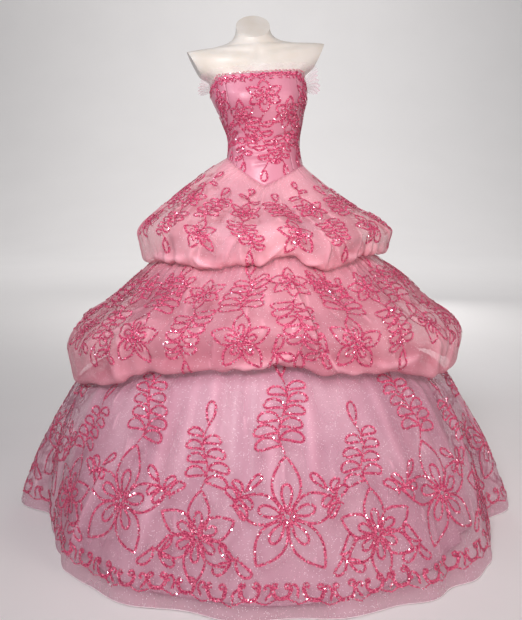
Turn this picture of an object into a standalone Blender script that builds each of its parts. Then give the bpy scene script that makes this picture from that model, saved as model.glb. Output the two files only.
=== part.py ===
"""Strapless ball gown on a limbless dress form, modelled the way it is cut and sewn.

Frame: metres, +Z up, the gown's front faces -Y and +X is on the viewer's right.
The origin is the centre of the underside of the stand's round base, on the floor.
Angles run round the vertical axis from the centre front (0), towards +X (90 is the
side on the viewer's right), to the centre back (180).

Every cloth piece is one closed wall: a grid of outer points, worked out from a few
sizes, with its inner side moved in by the cloth's thickness.
"""
import math

import bmesh
import bpy
from mathutils import Matrix, Vector

for leftover in list(bpy.context.scene.objects):
    bpy.data.objects.remove(leftover, do_unlink=True)

# ---------------------------------------------------------------- driving dimensions
SEAM_GAP = 0.0003          # between two pieces at a seam
SEAT_GAP = 0.0012          # between a tier's sewn edge and the underskirt's flat facets
FORM_CLEARANCE = 0.0020    # between the dress form and the cloth on it
BODICE_WALL = 0.0018       # satin, interlining and boning
UNDERSKIRT_WALL = 0.0012   # heavy satin
ORGANZA_WALL = 0.0010      # embroidered organza of the three tiers
TULLE_WALL = 0.0010        # gathered tulle along the neckline
ANGLE_STEP = 9.0           # degrees between the points of a ring on the form

NECKLINE_FRONT = 1.297     # height of the bodice's straight front edge
NECKLINE_SIDE = 1.262      # height under the arms
NECKLINE_BACK = 1.205      # height at the centre back
WAIST_POINT = 0.978        # lowest point of the V-shaped waist seam, centre front
WAIST_SIDE = 1.050         # the waist seam at the sides
WAIST_BACK = 1.058         # the waist seam at the centre back
WAIST_TILT = -0.010        # the seam's fall towards +X, half a turn from the higher side
PRINCESS_ANGLE = 45.0      # seams between the front and the side-front panels
SIDE_ANGLE = 90.0          # side seams
ZIP_WIDTH = 0.0064         # chain of the centre-back zip

TIER1_BULGE = 0.384        # widest radius of the upper puffed tier
TIER2_BULGE = 0.602        # widest radius of the middle puffed tier
SKIRT_HEM = 0.740          # mean radius of the long organza skirt at its hem
HEM_HEIGHT = 0.006         # its clearance above the floor
LINING_HEM_HEIGHT = 0.014  # the satin underskirt's clearance above the floor

FORM_BOTTOM = 0.860        # flat underside of the torso
BASE_RADIUS = 0.190
BASE_HEIGHT = 0.010
POLE_RADIUS = 0.016

# The dress form's level sections, from the hips to the neck. half_width is along X,
# front and back are depths along Y, roundness 2 is an ellipse, shift leans it along X.
FORM_SECTIONS = [
    dict(height=0.860, half_width=0.150, front=0.112, back=0.122, roundness=2.1, shift=0.000),
    dict(height=0.890, half_width=0.157, front=0.116, back=0.128, roundness=2.1, shift=0.000),
    dict(height=0.930, half_width=0.154, front=0.115, back=0.124, roundness=2.1, shift=0.000),
    dict(height=0.970, half_width=0.141, front=0.110, back=0.113, roundness=2.1, shift=0.000),
    dict(height=1.010, half_width=0.124, front=0.103, back=0.101, roundness=2.1, shift=0.000),
    dict(height=1.050, half_width=0.109, front=0.096, back=0.089, roundness=2.1, shift=0.000),
    dict(height=1.090, half_width=0.103, front=0.092, back=0.083, roundness=2.1, shift=-0.001),
    dict(height=1.125, half_width=0.105, front=0.096, back=0.084, roundness=2.1, shift=-0.002),
    dict(height=1.160, half_width=0.115, front=0.106, back=0.088, roundness=2.15, shift=-0.006),
    dict(height=1.190, half_width=0.124, front=0.117, back=0.092, roundness=2.2, shift=-0.010),
    dict(height=1.215, half_width=0.134, front=0.123, back=0.095, roundness=2.2, shift=-0.013),
    dict(height=1.240, half_width=0.140, front=0.122, back=0.097, roundness=2.2, shift=-0.016),
    dict(height=1.265, half_width=0.140, front=0.113, back=0.098, roundness=2.2, shift=-0.019),
    dict(height=1.288, half_width=0.146, front=0.102, back=0.097, roundness=2.2, shift=-0.022),
    dict(height=1.310, half_width=0.178, front=0.093, back=0.092, roundness=2.1, shift=-0.022),
    dict(height=1.335, half_width=0.206, front=0.082, back=0.085, roundness=2.0, shift=-0.023),
    dict(height=1.358, half_width=0.218, front=0.073, back=0.076, roundness=1.9, shift=-0.025),
    dict(height=1.373, half_width=0.216, front=0.066, back=0.068, roundness=1.65, shift=-0.027),
    dict(height=1.380, half_width=0.196, front=0.061, back=0.062, roundness=1.45, shift=-0.029),
    dict(height=1.384, half_width=0.140, front=0.058, back=0.058, roundness=1.5, shift=-0.031),
    dict(height=1.392, half_width=0.090, front=0.055, back=0.054, roundness=1.8, shift=-0.032),
    dict(height=1.406, half_width=0.062, front=0.053, back=0.051, roundness=2.0, shift=-0.033),
    dict(height=1.425, half_width=0.052, front=0.051, back=0.049, roundness=2.0, shift=-0.033),
    dict(height=1.455, half_width=0.049, front=0.049, back=0.048, roundness=2.0, shift=-0.034),
    dict(height=1.520, half_width=0.048, front=0.048, back=0.048, roundness=2.0, shift=-0.034),
]
BUST_FULLNESS = 0.010      # added to the front depth on each side of the centre
BUST_ANGLE = 33.0
BUST_HEIGHT = 1.220
CHEST_TURN = 8.0           # degrees that the chest is turned from the hips
SHOULDER_TILT = 0.085      # rise of the shoulders along +X
CUT_TIP = (0.205, 1.380)   # the flat shoulder cut runs from here, (half width, height),
CUT_ARMPIT = (0.158, 1.292)    # down to here
CUT_FLOOR = 1.272          # nothing is sawn off below this height
NECK_CUT = (-0.034, 0.0, 1.442)    # middle of the neck's flat cut
NECK_LEAN = 38.0           # degrees that it leans to the front

# The satin underskirt's radius, from under the hips to the hem.
UNDERSKIRT_SECTIONS = [
    dict(height=0.850, radius=0.284),
    dict(height=0.745, radius=0.336),
    dict(height=0.640, radius=0.387),
    dict(height=0.520, radius=0.443),
    dict(height=0.400, radius=0.505),
    dict(height=0.260, radius=0.576),
    dict(height=0.120, radius=0.642),
    dict(height=LINING_HEM_HEIGHT, radius=0.693),
]

# How far out a layer has come, at each part of its way down from the waist seam.
FLARE = [
    dict(down=0.00, out=0.00),
    dict(down=0.22, out=0.245),
    dict(down=0.50, out=0.548),
    dict(down=0.70, out=0.775),
    dict(down=0.85, out=0.945),
    dict(down=1.00, out=1.00),
]

# Lower folds of the two puffed tiers, round the skirt: where the cloth is caught up the
# fold is higher, and between two catches it hangs lower. swell is added to the bulge.
TIER1_FOLD = [
    dict(angle=-172, height=0.752, swell=0.004),
    dict(angle=-146, height=0.776, swell=-0.006),
    dict(angle=-120, height=0.750, swell=0.004),
    dict(angle=-96, height=0.746, swell=0.000),
    dict(angle=-72, height=0.752, swell=-0.004),
    dict(angle=-50, height=0.772, swell=-0.010),
    dict(angle=-27, height=0.762, swell=0.000),
    dict(angle=-4, height=0.776, swell=-0.006),
    dict(angle=10, height=0.800, swell=-0.014),
    dict(angle=27, height=0.758, swell=0.000),
    dict(angle=50, height=0.790, swell=-0.008),
    dict(angle=72, height=0.780, swell=0.002),
    dict(angle=98, height=0.764, swell=0.004),
    dict(angle=124, height=0.752, swell=0.000),
    dict(angle=150, height=0.778, swell=-0.006),
]
TIER2_FOLD = [
    dict(angle=-168, height=0.402, swell=0.000),
    dict(angle=-144, height=0.440, swell=-0.016),
    dict(angle=-120, height=0.398, swell=0.000),
    dict(angle=-94, height=0.400, swell=0.002),
    dict(angle=-72, height=0.410, swell=0.000),
    dict(angle=-52, height=0.446, swell=-0.014),
    dict(angle=-32, height=0.512, swell=-0.040),
    dict(angle=-13, height=0.532, swell=-0.050),
    dict(angle=4, height=0.545, swell=-0.058),
    dict(angle=17, height=0.520, swell=-0.048),
    dict(angle=36, height=0.508, swell=-0.036),
    dict(angle=56, height=0.462, swell=-0.014),
    dict(angle=76, height=0.452, swell=0.000),
    dict(angle=100, height=0.432, swell=0.002),
    dict(angle=124, height=0.400, swell=0.000),
    dict(angle=148, height=0.440, swell=-0.016),
]

# Flutes of the long organza skirt: its radius at the hem on each crest and valley.
HEM_FLUTES = [
    dict(angle=-172, radius=0.722), dict(angle=-160, radius=0.758), dict(angle=-147, radius=0.718),
    dict(angle=-134, radius=0.762), dict(angle=-120, radius=0.714), dict(angle=-107, radius=0.758),
    dict(angle=-94, radius=0.704), dict(angle=-81, radius=0.766), dict(angle=-70, radius=0.668),
    dict(angle=-60, radius=0.684), dict(angle=-51, radius=0.708), dict(angle=-44, radius=0.738),
    dict(angle=-36, radius=0.742), dict(angle=-27, radius=0.758), dict(angle=-15, radius=0.732),
    dict(angle=-5, radius=0.754), dict(angle=5, radius=0.740), dict(angle=15, radius=0.760),
    dict(angle=24, radius=0.754), dict(angle=32, radius=0.778), dict(angle=37, radius=0.764),
    dict(angle=43, radius=0.782), dict(angle=50, radius=0.770), dict(angle=58, radius=0.734),
    dict(angle=67, radius=0.688), dict(angle=78, radius=0.767), dict(angle=89, radius=0.710),
    dict(angle=99, radius=0.760), dict(angle=111, radius=0.714), dict(angle=123, radius=0.762),
    dict(angle=136, radius=0.718), dict(angle=149, radius=0.760), dict(angle=161, radius=0.722),
    dict(angle=175, radius=0.762),
]
STAND_OFF = [              # organza skirt's distance from the underskirt, top to hem
    dict(down=0.00, out=0.000),
    dict(down=0.06, out=0.042),
    dict(down=0.14, out=0.068),
    dict(down=0.30, out=0.073),
    dict(down=0.50, out=0.077),
    dict(down=0.70, out=0.072),
    dict(down=0.88, out=0.060),
    dict(down=1.00, out=0.046),
]
TIER1_LEAN = -0.025        # the upper tier's cloth swings out towards -X on its way down
PUFFS = [                  # places where the middle tier stands out by itself
    dict(angle=-94, height=0.585, spread=22, rise=0.030, out=0.022),
    dict(angle=86, height=0.712, spread=26, rise=0.036, out=0.014),
]


# ---------------------------------------------------------------- small tools
def between(table, key, column, at):
    """Value of a column at a place between two rows, eased so that sections join smoothly."""
    rows = sorted(table, key=lambda row: row[key])
    if at <= rows[0][key]:
        return rows[0][column]
    if at >= rows[-1][key]:
        return rows[-1][column]
    for index in range(len(rows) - 1):
        low, high = rows[index], rows[index + 1]
        if at <= high[key]:
            break
    before = rows[max(index - 1, 0)]
    after = rows[min(index + 2, len(rows) - 1)]
    span = high[key] - low[key]
    part = (at - low[key]) / span
    step = high[column] - low[column]
    slope_low = (high[column] - before[column]) / (high[key] - before[key]) * span
    slope_high = (after[column] - low[column]) / (after[key] - low[key]) * span
    limit = 3.0 * abs(step)
    slope_low = max(-limit, min(limit, slope_low))
    slope_high = max(-limit, min(limit, slope_high))
    square, cube = part * part, part ** 3
    return ((2 * cube - 3 * square + 1) * low[column] + (cube - 2 * square + part) * slope_low
            + (3 * square - 2 * cube) * high[column] + (cube - square) * slope_high)


def straight(table, key, column, at):
    """Value of a column at a place between two rows, along a straight line."""
    rows = sorted(table, key=lambda row: row[key])
    for low, high in zip(rows, rows[1:]):
        if at <= high[key]:
            break
    part = (at - low[key]) / (high[key] - low[key])
    return low[column] + (high[column] - low[column]) * part


def around(table, column, angle):
    """Value of a column at an angle, for a table that goes once round the skirt."""
    angle = (angle + 180.0) % 360.0 - 180.0
    first, last = table[0], table[-1]
    for low, high in zip([dict(last, angle=last["angle"] - 360)] + table,
                         table + [dict(first, angle=first["angle"] + 360)]):
        if angle <= high["angle"]:
            break
    part = (angle - low["angle"]) / (high["angle"] - low["angle"])
    ease = 0.5 - 0.5 * math.cos(math.pi * part)
    return low[column] + (high[column] - low[column]) * ease


def ease(value):
    value = max(0.0, min(1.0, value))
    return value * value * (3.0 - 2.0 * value)


def along_ring(height_at, angle):
    """An edge's height, straight between the ring points that the pieces beside it share."""
    start = math.floor(angle / ANGLE_STEP + 1e-9) * ANGLE_STEP
    part = (angle - start) / ANGLE_STEP
    return height_at(start) * (1.0 - part) + height_at(start + ANGLE_STEP) * part


def outward(angle):
    return Vector((math.sin(math.radians(angle)), -math.cos(math.radians(angle)), 0.0))


def material(name, colour, roughness, metallic=0.0, alpha=1.0):
    made = bpy.data.materials.new(name)
    made.use_nodes = True
    shader = made.node_tree.nodes["Principled BSDF"]
    shader.inputs["Base Color"].default_value = (*colour, 1.0)
    shader.inputs["Roughness"].default_value = roughness
    shader.inputs["Metallic"].default_value = metallic
    shader.inputs["Alpha"].default_value = alpha
    return made


def new_object(name, bm, finish):
    bmesh.ops.recalc_face_normals(bm, faces=bm.faces)
    mesh = bpy.data.meshes.new(name)
    bm.to_mesh(mesh)
    bm.free()
    mesh.materials.append(finish)
    mesh.shade_smooth()
    mesh.set_sharp_from_angle(angle=math.radians(40))
    made = bpy.data.objects.new(name, mesh)
    bpy.context.scene.collection.objects.link(made)
    return made


def cloth_wall(name, point, rows, start, stop, columns, thickness, finish):
    """A closed wall through point(row, angle), its inner side moved in by the thickness."""
    bm = bmesh.new()
    nudge = 0.4                # degrees to each side, for the direction along the ring
    angles = [start + (stop - start) * column / columns for column in range(columns + 1)]
    sides = []
    for row in range(rows):
        above, below = max(row - 1, 0), min(row + 1, rows - 1)
        outer_line, inner_line = [], []
        for angle in angles:
            outer = point(row, angle)
            along = point(row, angle + nudge) - point(row, angle - nudge)
            down = point(below, angle) - point(above, angle)
            normal = down.cross(along).normalized()
            outer_line.append(bm.verts.new(outer))
            inner_line.append(bm.verts.new(outer - normal * thickness))
        sides.append((outer_line, inner_line))
    for row in range(rows - 1):
        (outer, inner), (outer_next, inner_next) = sides[row], sides[row + 1]
        for left in range(columns):
            right = left + 1
            bm.faces.new((outer[left], outer[right], outer_next[right], outer_next[left]))
            bm.faces.new((inner[left], inner_next[left], inner_next[right], inner[right]))
        for end in (0, columns):
            bm.faces.new((outer[end], inner[end], inner_next[end], outer_next[end]))
    for outer, inner in (sides[0], sides[-1]):
        for left in range(columns):
            right = left + 1
            bm.faces.new((outer[left], inner[left], inner[right], outer[right]))
    return new_object(name, bm, finish)


def seam_angle(radius):
    """Half of the gap at a seam, as an angle at that radius."""
    return math.degrees(0.5 * SEAM_GAP / radius)


# ---------------------------------------------------------------- finishes
SATIN = material("pink_satin", (0.76, 0.34, 0.43), 0.36)
LINING_SATIN = material("pink_underskirt_satin", (0.80, 0.40, 0.48), 0.38)
ORGANZA = material("pink_organza", (0.80, 0.38, 0.46), 0.42)
TULLE = material("pale_tulle", (0.86, 0.62, 0.66), 0.60)
FORM_SHELL = material("cream_gloss_shell", (0.83, 0.80, 0.74), 0.28)
STAND_STEEL = material("brushed_steel", (0.55, 0.55, 0.56), 0.32, metallic=1.0)
ZIP_TEETH = material("pink_zip", (0.66, 0.30, 0.38), 0.45)
ZIP_METAL = material("pale_zip_metal", (0.70, 0.52, 0.54), 0.30, metallic=1.0)


# ---------------------------------------------------------------- the dress form
def chest_turn(height):
    """The form's turn about the vertical axis: none at the hips, full at the chest."""
    return Matrix.Rotation(math.radians(CHEST_TURN) * ease((height - 1.09) / 0.17), 3, "Z")


def form_point(angle, height, offset=0.0):
    """A point on the form's surface, or that far outside it."""
    def ring(at):
        sine, cosine = math.sin(math.radians(at)), math.cos(math.radians(at))
        power = 2.0 / between(FORM_SECTIONS, "height", "roundness", height)
        width = between(FORM_SECTIONS, "height", "half_width", height)
        depth = between(FORM_SECTIONS, "height", "front" if cosine > 0 else "back", height)
        lobe = sum(math.exp(-((at - side * BUST_ANGLE) / 17.0) ** 2) for side in (-1, 1))
        level = math.exp(-((height - BUST_HEIGHT) / 0.045) ** 2)
        depth += BUST_FULLNESS * lobe * level
        return Vector((math.copysign(width * abs(sine) ** power, sine),
                       math.copysign(depth * abs(cosine) ** power, -cosine), 0.0))

    at = (angle + 180.0) % 360.0 - 180.0
    flat = ring(at)
    if offset:
        tangent = ring(at + 1.0) - ring(at - 1.0)
        flat += Vector((-tangent.y, tangent.x, 0.0)).normalized() * -offset
    tilt = SHOULDER_TILT * ease((height - 1.20) / 0.12)
    level = height + tilt * flat.x
    return chest_turn(height) @ flat + Vector((between(FORM_SECTIONS, "height", "shift", height), 0.0, level))


def cut_off(bm, place, direction):
    """Saws the body off at a plane, above CUT_FLOOR, and closes the cut with one flat face."""
    upper = {vert for vert in bm.verts if vert.co.z > CUT_FLOOR}
    edges = [edge for edge in bm.edges if upper.issuperset(edge.verts)]
    faces = [face for face in bm.faces if upper.issuperset(face.verts)]
    cut = bmesh.ops.bisect_plane(bm, geom=list(upper) + edges + faces, plane_co=place,
                                 plane_no=direction, clear_outer=True, dist=1e-5)
    rim = [item for item in cut["geom_cut"] if isinstance(item, bmesh.types.BMEdge)]
    bmesh.ops.contextual_create(bm, geom=rim)


def dress_form_torso():
    """One smooth moulded shell: hips to neck, sawn off at both shoulders and at the neck."""
    bm = bmesh.new()
    sides = int(360 / ANGLE_STEP)
    heights = [row["height"] for row in FORM_SECTIONS]
    heights += [0.5 * (low + high) for low, high in zip(heights, heights[1:])
                if WAIST_POINT < low and high < NECKLINE_FRONT]
    heights.sort()
    rings = [[bm.verts.new(form_point(side * ANGLE_STEP, height)) for side in range(sides)]
             for height in heights]
    for low, high in zip(rings, rings[1:]):
        for side in range(sides):
            other = (side + 1) % sides
            bm.faces.new((low[side], low[other], high[other], high[side]))
    bm.faces.new(rings[0])
    bm.faces.new(rings[-1])
    bmesh.ops.recalc_face_normals(bm, faces=bm.faces)
    turn = Matrix.Rotation(math.radians(CHEST_TURN), 3, "Z")
    middle = 0.5 * (CUT_TIP[1] + CUT_ARMPIT[1])
    shift = Vector((between(FORM_SECTIONS, "height", "shift", middle), 0.0, 0.0))
    for side in (-1, 1):
        tip, armpit = (Vector((side * wide, 0.0, height + side * SHOULDER_TILT * wide))
                       for wide, height in (CUT_TIP, CUT_ARMPIT))
        slope = armpit - tip
        facing = Vector((-slope.z, 0.0, slope.x)) * side
        cut_off(bm, turn @ tip + shift, turn @ facing.normalized())
    lean = math.radians(NECK_LEAN)
    cut_off(bm, Vector(NECK_CUT), Vector((0.0, -math.sin(lean), math.cos(lean))))
    return new_object("dress_form_torso", bm, FORM_SHELL)


def turned(name, outline, finish, sides=40):
    """A round piece from its outline, a list of (radius, height), round the vertical axis."""
    bm = bmesh.new()
    rings = [[bm.verts.new(outward(360.0 * side / sides) * radius + Vector((0, 0, height)))
              for side in range(sides)] for radius, height in outline]
    for low, high in zip(rings, rings[1:]):
        for side in range(sides):
            other = (side + 1) % sides
            bm.faces.new((low[side], low[other], high[other], high[side]))
    bm.faces.new(rings[0])
    bm.faces.new(rings[-1])
    return new_object(name, bm, finish)


def stand():
    """A round base plate with a flat top for the tube that carries the torso."""
    edge = 0.002
    turned("form_base", [(BASE_RADIUS - edge, 0.0), (BASE_RADIUS, edge),
                         (BASE_RADIUS, BASE_HEIGHT - edge), (BASE_RADIUS - edge, BASE_HEIGHT)],
           STAND_STEEL)
    turned("form_pole", [(POLE_RADIUS, BASE_HEIGHT + SEAM_GAP), (POLE_RADIUS, FORM_BOTTOM - SEAM_GAP)],
           STAND_STEEL, sides=20)


# ---------------------------------------------------------------- the bodice
def zip_half_angle():
    """Half of the zip with its gap, as an angle at the centre back, 92 mm from the axis."""
    return math.degrees((0.5 * ZIP_WIDTH + SEAM_GAP) / 0.092)


def neckline(angle):
    """Height of the bodice's upper edge: straight across the front, lower to the back."""
    def height_at(place):
        away = abs((place + 180.0) % 360.0 - 180.0)
        to_side = ease((away - 38.0) / 55.0)
        to_back = ease((away - 80.0) / 85.0)
        return (NECKLINE_FRONT + (NECKLINE_SIDE - NECKLINE_FRONT) * to_side
                + (NECKLINE_BACK - NECKLINE_SIDE) * to_back)
    return along_ring(height_at, angle)


def waist_seam(angle):
    """Height of the waist seam: a V in front, nearly level behind."""
    def height_at(place):
        sine = abs(math.sin(math.radians(place)))
        tilt = WAIST_TILT * math.sin(math.radians(place))
        if math.cos(math.radians(place)) > 0:
            return WAIST_POINT + (WAIST_SIDE - WAIST_POINT) * sine + tilt
        return WAIST_BACK + (WAIST_SIDE - WAIST_BACK) * sine + tilt
    return along_ring(height_at, angle)


BODICE_ROWS = 12
BODICE_OUT = FORM_CLEARANCE + BODICE_WALL


def bodice_point(row, angle):
    low = waist_seam(angle) + 2 * SEAM_GAP
    high = neckline(angle)
    return form_point(angle, high + (low - high) * row / (BODICE_ROWS - 1), BODICE_OUT)


def bodice():
    """Five panels, a zip's width apart at the centre back."""
    back_edge = 180.0 - zip_half_angle()
    gap = seam_angle(0.10)     # the waist's mean radius
    panels = [
        ("bodice_front", -PRINCESS_ANGLE + gap, PRINCESS_ANGLE - gap, 10),
        ("bodice_side_front_left", -SIDE_ANGLE + gap, -PRINCESS_ANGLE - gap, 5),
        ("bodice_side_front_right", PRINCESS_ANGLE + gap, SIDE_ANGLE - gap, 5),
        ("bodice_back_left", -back_edge, -SIDE_ANGLE - gap, 10),
        ("bodice_back_right", SIDE_ANGLE + gap, back_edge, 10),
    ]
    for name, start, stop, columns in panels:
        cloth_wall(name, bodice_point, BODICE_ROWS, start, stop, columns, BODICE_WALL, SATIN)


# ---------------------------------------------------------------- the centre-back zip
def zip_frame(height):
    """Place on the centre back, and the directions level across, down and out of it."""
    here = form_point(180.0, height, FORM_CLEARANCE)
    below = form_point(180.0, height - 0.004, FORM_CLEARANCE)
    down = (below - here).normalized()
    level = chest_turn(height) @ Vector((1.0, 0.0, 0.0))
    return here, level, down, level.cross(down).normalized()


def swept_box(bm, stations):
    """A bar through stations, each a list of four corners."""
    loops = [[bm.verts.new(corner) for corner in corners] for corners in stations]
    for low, high in zip(loops, loops[1:]):
        for side in range(4):
            other = (side + 1) % 4
            bm.faces.new((low[side], low[other], high[other], high[side]))
    bm.faces.new(loops[0])
    bm.faces.new(loops[-1])


def zip_chain():
    """The closed chain of teeth, as one flat bar from the waist seam to the neckline."""
    bm = bmesh.new()
    half = 0.5 * ZIP_WIDTH
    low, high = WAIST_BACK + 2 * SEAM_GAP, NECKLINE_BACK
    stations = []
    for step in range(BODICE_ROWS):
        here, level, down, out = zip_frame(low + (high - low) * step / (BODICE_ROWS - 1))
        stations.append([here - level * half, here + level * half,
                         here + level * half + out * BODICE_WALL,
                         here - level * half + out * BODICE_WALL])
    swept_box(bm, stations)
    return new_object("zip_chain", bm, ZIP_TEETH)


SLIDER_HEIGHT = NECKLINE_BACK - 0.010      # middle of the closed slider
SLIDER_LENGTH, SLIDER_WIDTH, SLIDER_THICK = 0.0100, 0.0076, 0.0022
LUG_LENGTH, LUG_WIDTH, LUG_RISE = 0.0044, 0.0014, 0.0034
LUG_ROOT = 0.0004          # how deep a lug is sunk in the slider
PULL_LENGTH, PULL_WIDTH, PULL_THICK = 0.0240, 0.0050, 0.0014
NECK_LENGTH, NECK_WIDTH, BARREL = 0.0060, 0.0025, 0.0026
HINGE_RISE = 0.0019        # the hinge line above the slider's face


def joined_blocks(name, blocks, frame, finish):
    """Blocks along the zip's own directions as one solid: (across, down, out) ranges."""
    here, across, down, out = frame
    made = None
    for index, (wide, along, thick) in enumerate(blocks):
        bm = bmesh.new()
        corners = [here + across * x + down * y + out * z
                   for z in thick for x, y in ((wide[0], along[0]), (wide[1], along[0]),
                                               (wide[1], along[1]), (wide[0], along[1]))]
        swept_box(bm, [corners[:4], corners[4:]])
        block = new_object(f"{name}_joint_{index}" if made else name, bm, finish)
        if made is None:
            made = block
            continue
        join = made.modifiers.new("join", "BOOLEAN")
        join.operation = "UNION"
        join.object = block
        block.hide_render = True
        block.display_type = "WIRE"


def zip_slider_and_pull():
    """A slider with two lugs, and the pull tab that hangs and turns between them."""
    here, level, down, out = zip_frame(SLIDER_HEIGHT)
    across = down.cross(out)
    face = BODICE_WALL + SEAM_GAP
    top = face + SLIDER_THICK
    inner = 0.5 * NECK_WIDTH + SEAM_GAP
    outer = inner + LUG_WIDTH
    half_wide, half_long, half_lug = 0.5 * SLIDER_WIDTH, 0.5 * SLIDER_LENGTH, 0.5 * LUG_LENGTH
    lug_out = (top - LUG_ROOT, top + LUG_RISE)
    joined_blocks("zip_slider", [
        ((-half_wide, half_wide), (-half_long, half_long), (face, top)),
        ((-outer, -inner), (-half_lug, half_lug), lug_out),
        ((inner, outer), (-half_lug, half_lug), lug_out),
    ], (here, across, down, out), ZIP_METAL)
    hinge = here + out * (top + HINGE_RISE)
    plumb = Vector((0.0, 0.0, -1.0))
    hang = (plumb - across * plumb.dot(across)).normalized()
    neck, tab, barrel, flat = 0.5 * NECK_WIDTH, 0.5 * PULL_WIDTH, 0.5 * BARREL, 0.5 * PULL_THICK
    joined_blocks("zip_pull", [
        ((-neck, neck), (-barrel, barrel), (-barrel, barrel)),
        ((-neck, neck), (0.0, NECK_LENGTH), (-flat, flat)),
        ((-tab, tab), (NECK_LENGTH - 0.001, PULL_LENGTH), (-flat, flat)),
    ], (hinge, across, hang, across.cross(hang)), ZIP_METAL)


# ---------------------------------------------------------------- the tulle at the neckline
RUFFLE_ROWS = 3
RUFFLE_WAVES = 26
RUFFLE_HEIGHT = 0.020
RUFFLE_LEAN = 0.017        # how far it falls outward under the arms


def ruffle_point(row, angle):
    """Gathered tulle that stands up inside the neckline and falls outward at the sides."""
    part = row / (RUFFLE_ROWS - 1)
    side = math.exp(-((abs(angle) - 90.0) / 24.0) ** 2)
    wave = math.sin(math.radians(RUFFLE_WAVES * angle + 70.0 * math.sin(math.radians(3.0 * angle))))
    height = neckline(angle) + 6 * SEAM_GAP + part * RUFFLE_HEIGHT * (1.0 - side * (0.55 + 0.30 * wave))
    lean = 0.0045 + RUFFLE_LEAN * side * part
    swing = (0.0022 + 0.0030 * side) * part
    return form_point(angle, height, FORM_CLEARANCE + TULLE_WALL + lean * part + swing * (1.0 + wave))


def neckline_ruffle():
    end = 180.0 - zip_half_angle()
    cloth_wall("neckline_ruffle", ruffle_point, RUFFLE_ROWS, -end, end, 4 * RUFFLE_WAVES,
               TULLE_WALL, TULLE)


# ---------------------------------------------------------------- the skirts
def underskirt_radius(height):
    return straight(UNDERSKIRT_SECTIONS, "height", "radius", height)


def off_the_waist(angle, height, offset, foot_height, foot_radius):
    """A layer between the waist seam and its foot: the form's section opening into a circle."""
    seam = waist_seam(angle)
    down = (seam - height) / (seam - foot_height)
    waist = form_point(angle, seam, offset)
    radius = math.hypot(waist.x, waist.y)
    radius += (foot_radius - radius) * between(FLARE, "down", "out", down)
    leaving = ease(down / 0.35)
    direction = (Vector((waist.x, waist.y, 0.0)).normalized() * (1.0 - leaving)
                 + outward(angle) * leaving).normalized()
    return direction * radius + Vector((0.0, 0.0, height))


UNDERSKIRT_FOLD = 0.010    # depth of its soft folds at the hem
UNDERSKIRT_OVAL = 0.048    # how much deeper than wide its hem is, as a radius
HIP_ROWS = 2               # rows of the underskirt above its widest hip section
UNDERSKIRT_ROWS = HIP_ROWS + len(UNDERSKIRT_SECTIONS)
UNDERSKIRT_OUT = FORM_CLEARANCE + UNDERSKIRT_WALL


def underskirt_point(row, angle):
    """Satin cone under all the organza, with soft folds towards its hem."""
    if row < HIP_ROWS:
        hip = UNDERSKIRT_SECTIONS[0]
        seam = waist_seam(angle)
        height = seam + (hip["height"] - seam) * row / HIP_ROWS
        return off_the_waist(angle, height, UNDERSKIRT_OUT, hip["height"], hip["radius"])
    height = UNDERSKIRT_SECTIONS[row - HIP_ROWS]["height"]
    lower = ease((0.45 - height) / 0.45)
    folds = 0.5 * UNDERSKIRT_FOLD * (math.sin(math.radians(11 * angle + 25)) - 1.0)
    oval = UNDERSKIRT_OVAL * (math.cos(math.radians(angle)) ** 2 - 0.75)
    radius = underskirt_radius(height) + lower * (folds + oval)
    return outward(angle) * radius + Vector((0.0, 0.0, height))


TIER1_STEPS = [0.0, 0.24, 0.52, 0.80, 1.0]
TIER1_ROWS = len(TIER1_STEPS) + 5
BULGE_RISE = 0.066         # from a tier's fold up to its widest ring
TIER1_OUT = UNDERSKIRT_OUT + SEAM_GAP + ORGANZA_WALL + 0.0012


def puffed_edge(step, bulge_radius, bulge_height, fold_height, seat_height, wall):
    """The lower, turned-under part of a puffed tier, from its widest ring to its seat."""
    seat_radius = underskirt_radius(seat_height) + SEAT_GAP + wall
    fold_radius = bulge_radius - 0.016
    drop = bulge_height - fold_height
    places = [
        (bulge_radius - 0.006, bulge_height - 0.50 * drop),
        (fold_radius + 0.004, fold_height + 0.10 * drop),
        (fold_radius - 0.008, fold_height),
        (fold_radius - 0.018, fold_height + 0.010),
        (seat_radius, seat_height),
    ]
    return places[step]


def tier1_point(row, angle):
    """Upper tier: flares off the waist seam, puffs, and turns under to the underskirt."""
    fold = around(TIER1_FOLD, "height", angle)
    bulge_height = fold + BULGE_RISE
    bulge = TIER1_BULGE + around(TIER1_FOLD, "swell", angle)
    if row < len(TIER1_STEPS):
        seam = waist_seam(angle)
        height = seam + (bulge_height - seam) * TIER1_STEPS[row]
        pleats = 0.004 * math.sin(math.radians(14 * angle)) * math.sin(math.pi * TIER1_STEPS[row])
        place = off_the_waist(angle, height, TIER1_OUT, bulge_height, bulge) + outward(angle) * pleats
        return place + Vector((TIER1_LEAN * math.sin(math.pi * TIER1_STEPS[row]) ** 0.7, 0.0, 0.0))
    radius, height = puffed_edge(row - len(TIER1_STEPS), bulge, bulge_height, fold, fold + 0.034,
                                 ORGANZA_WALL)
    return outward(angle) * radius + Vector((0.0, 0.0, height))


TIER2_STEPS = [0.0, 0.24, 0.52, 0.80, 1.0]
TIER2_ROWS = len(TIER2_STEPS) + 5


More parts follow.
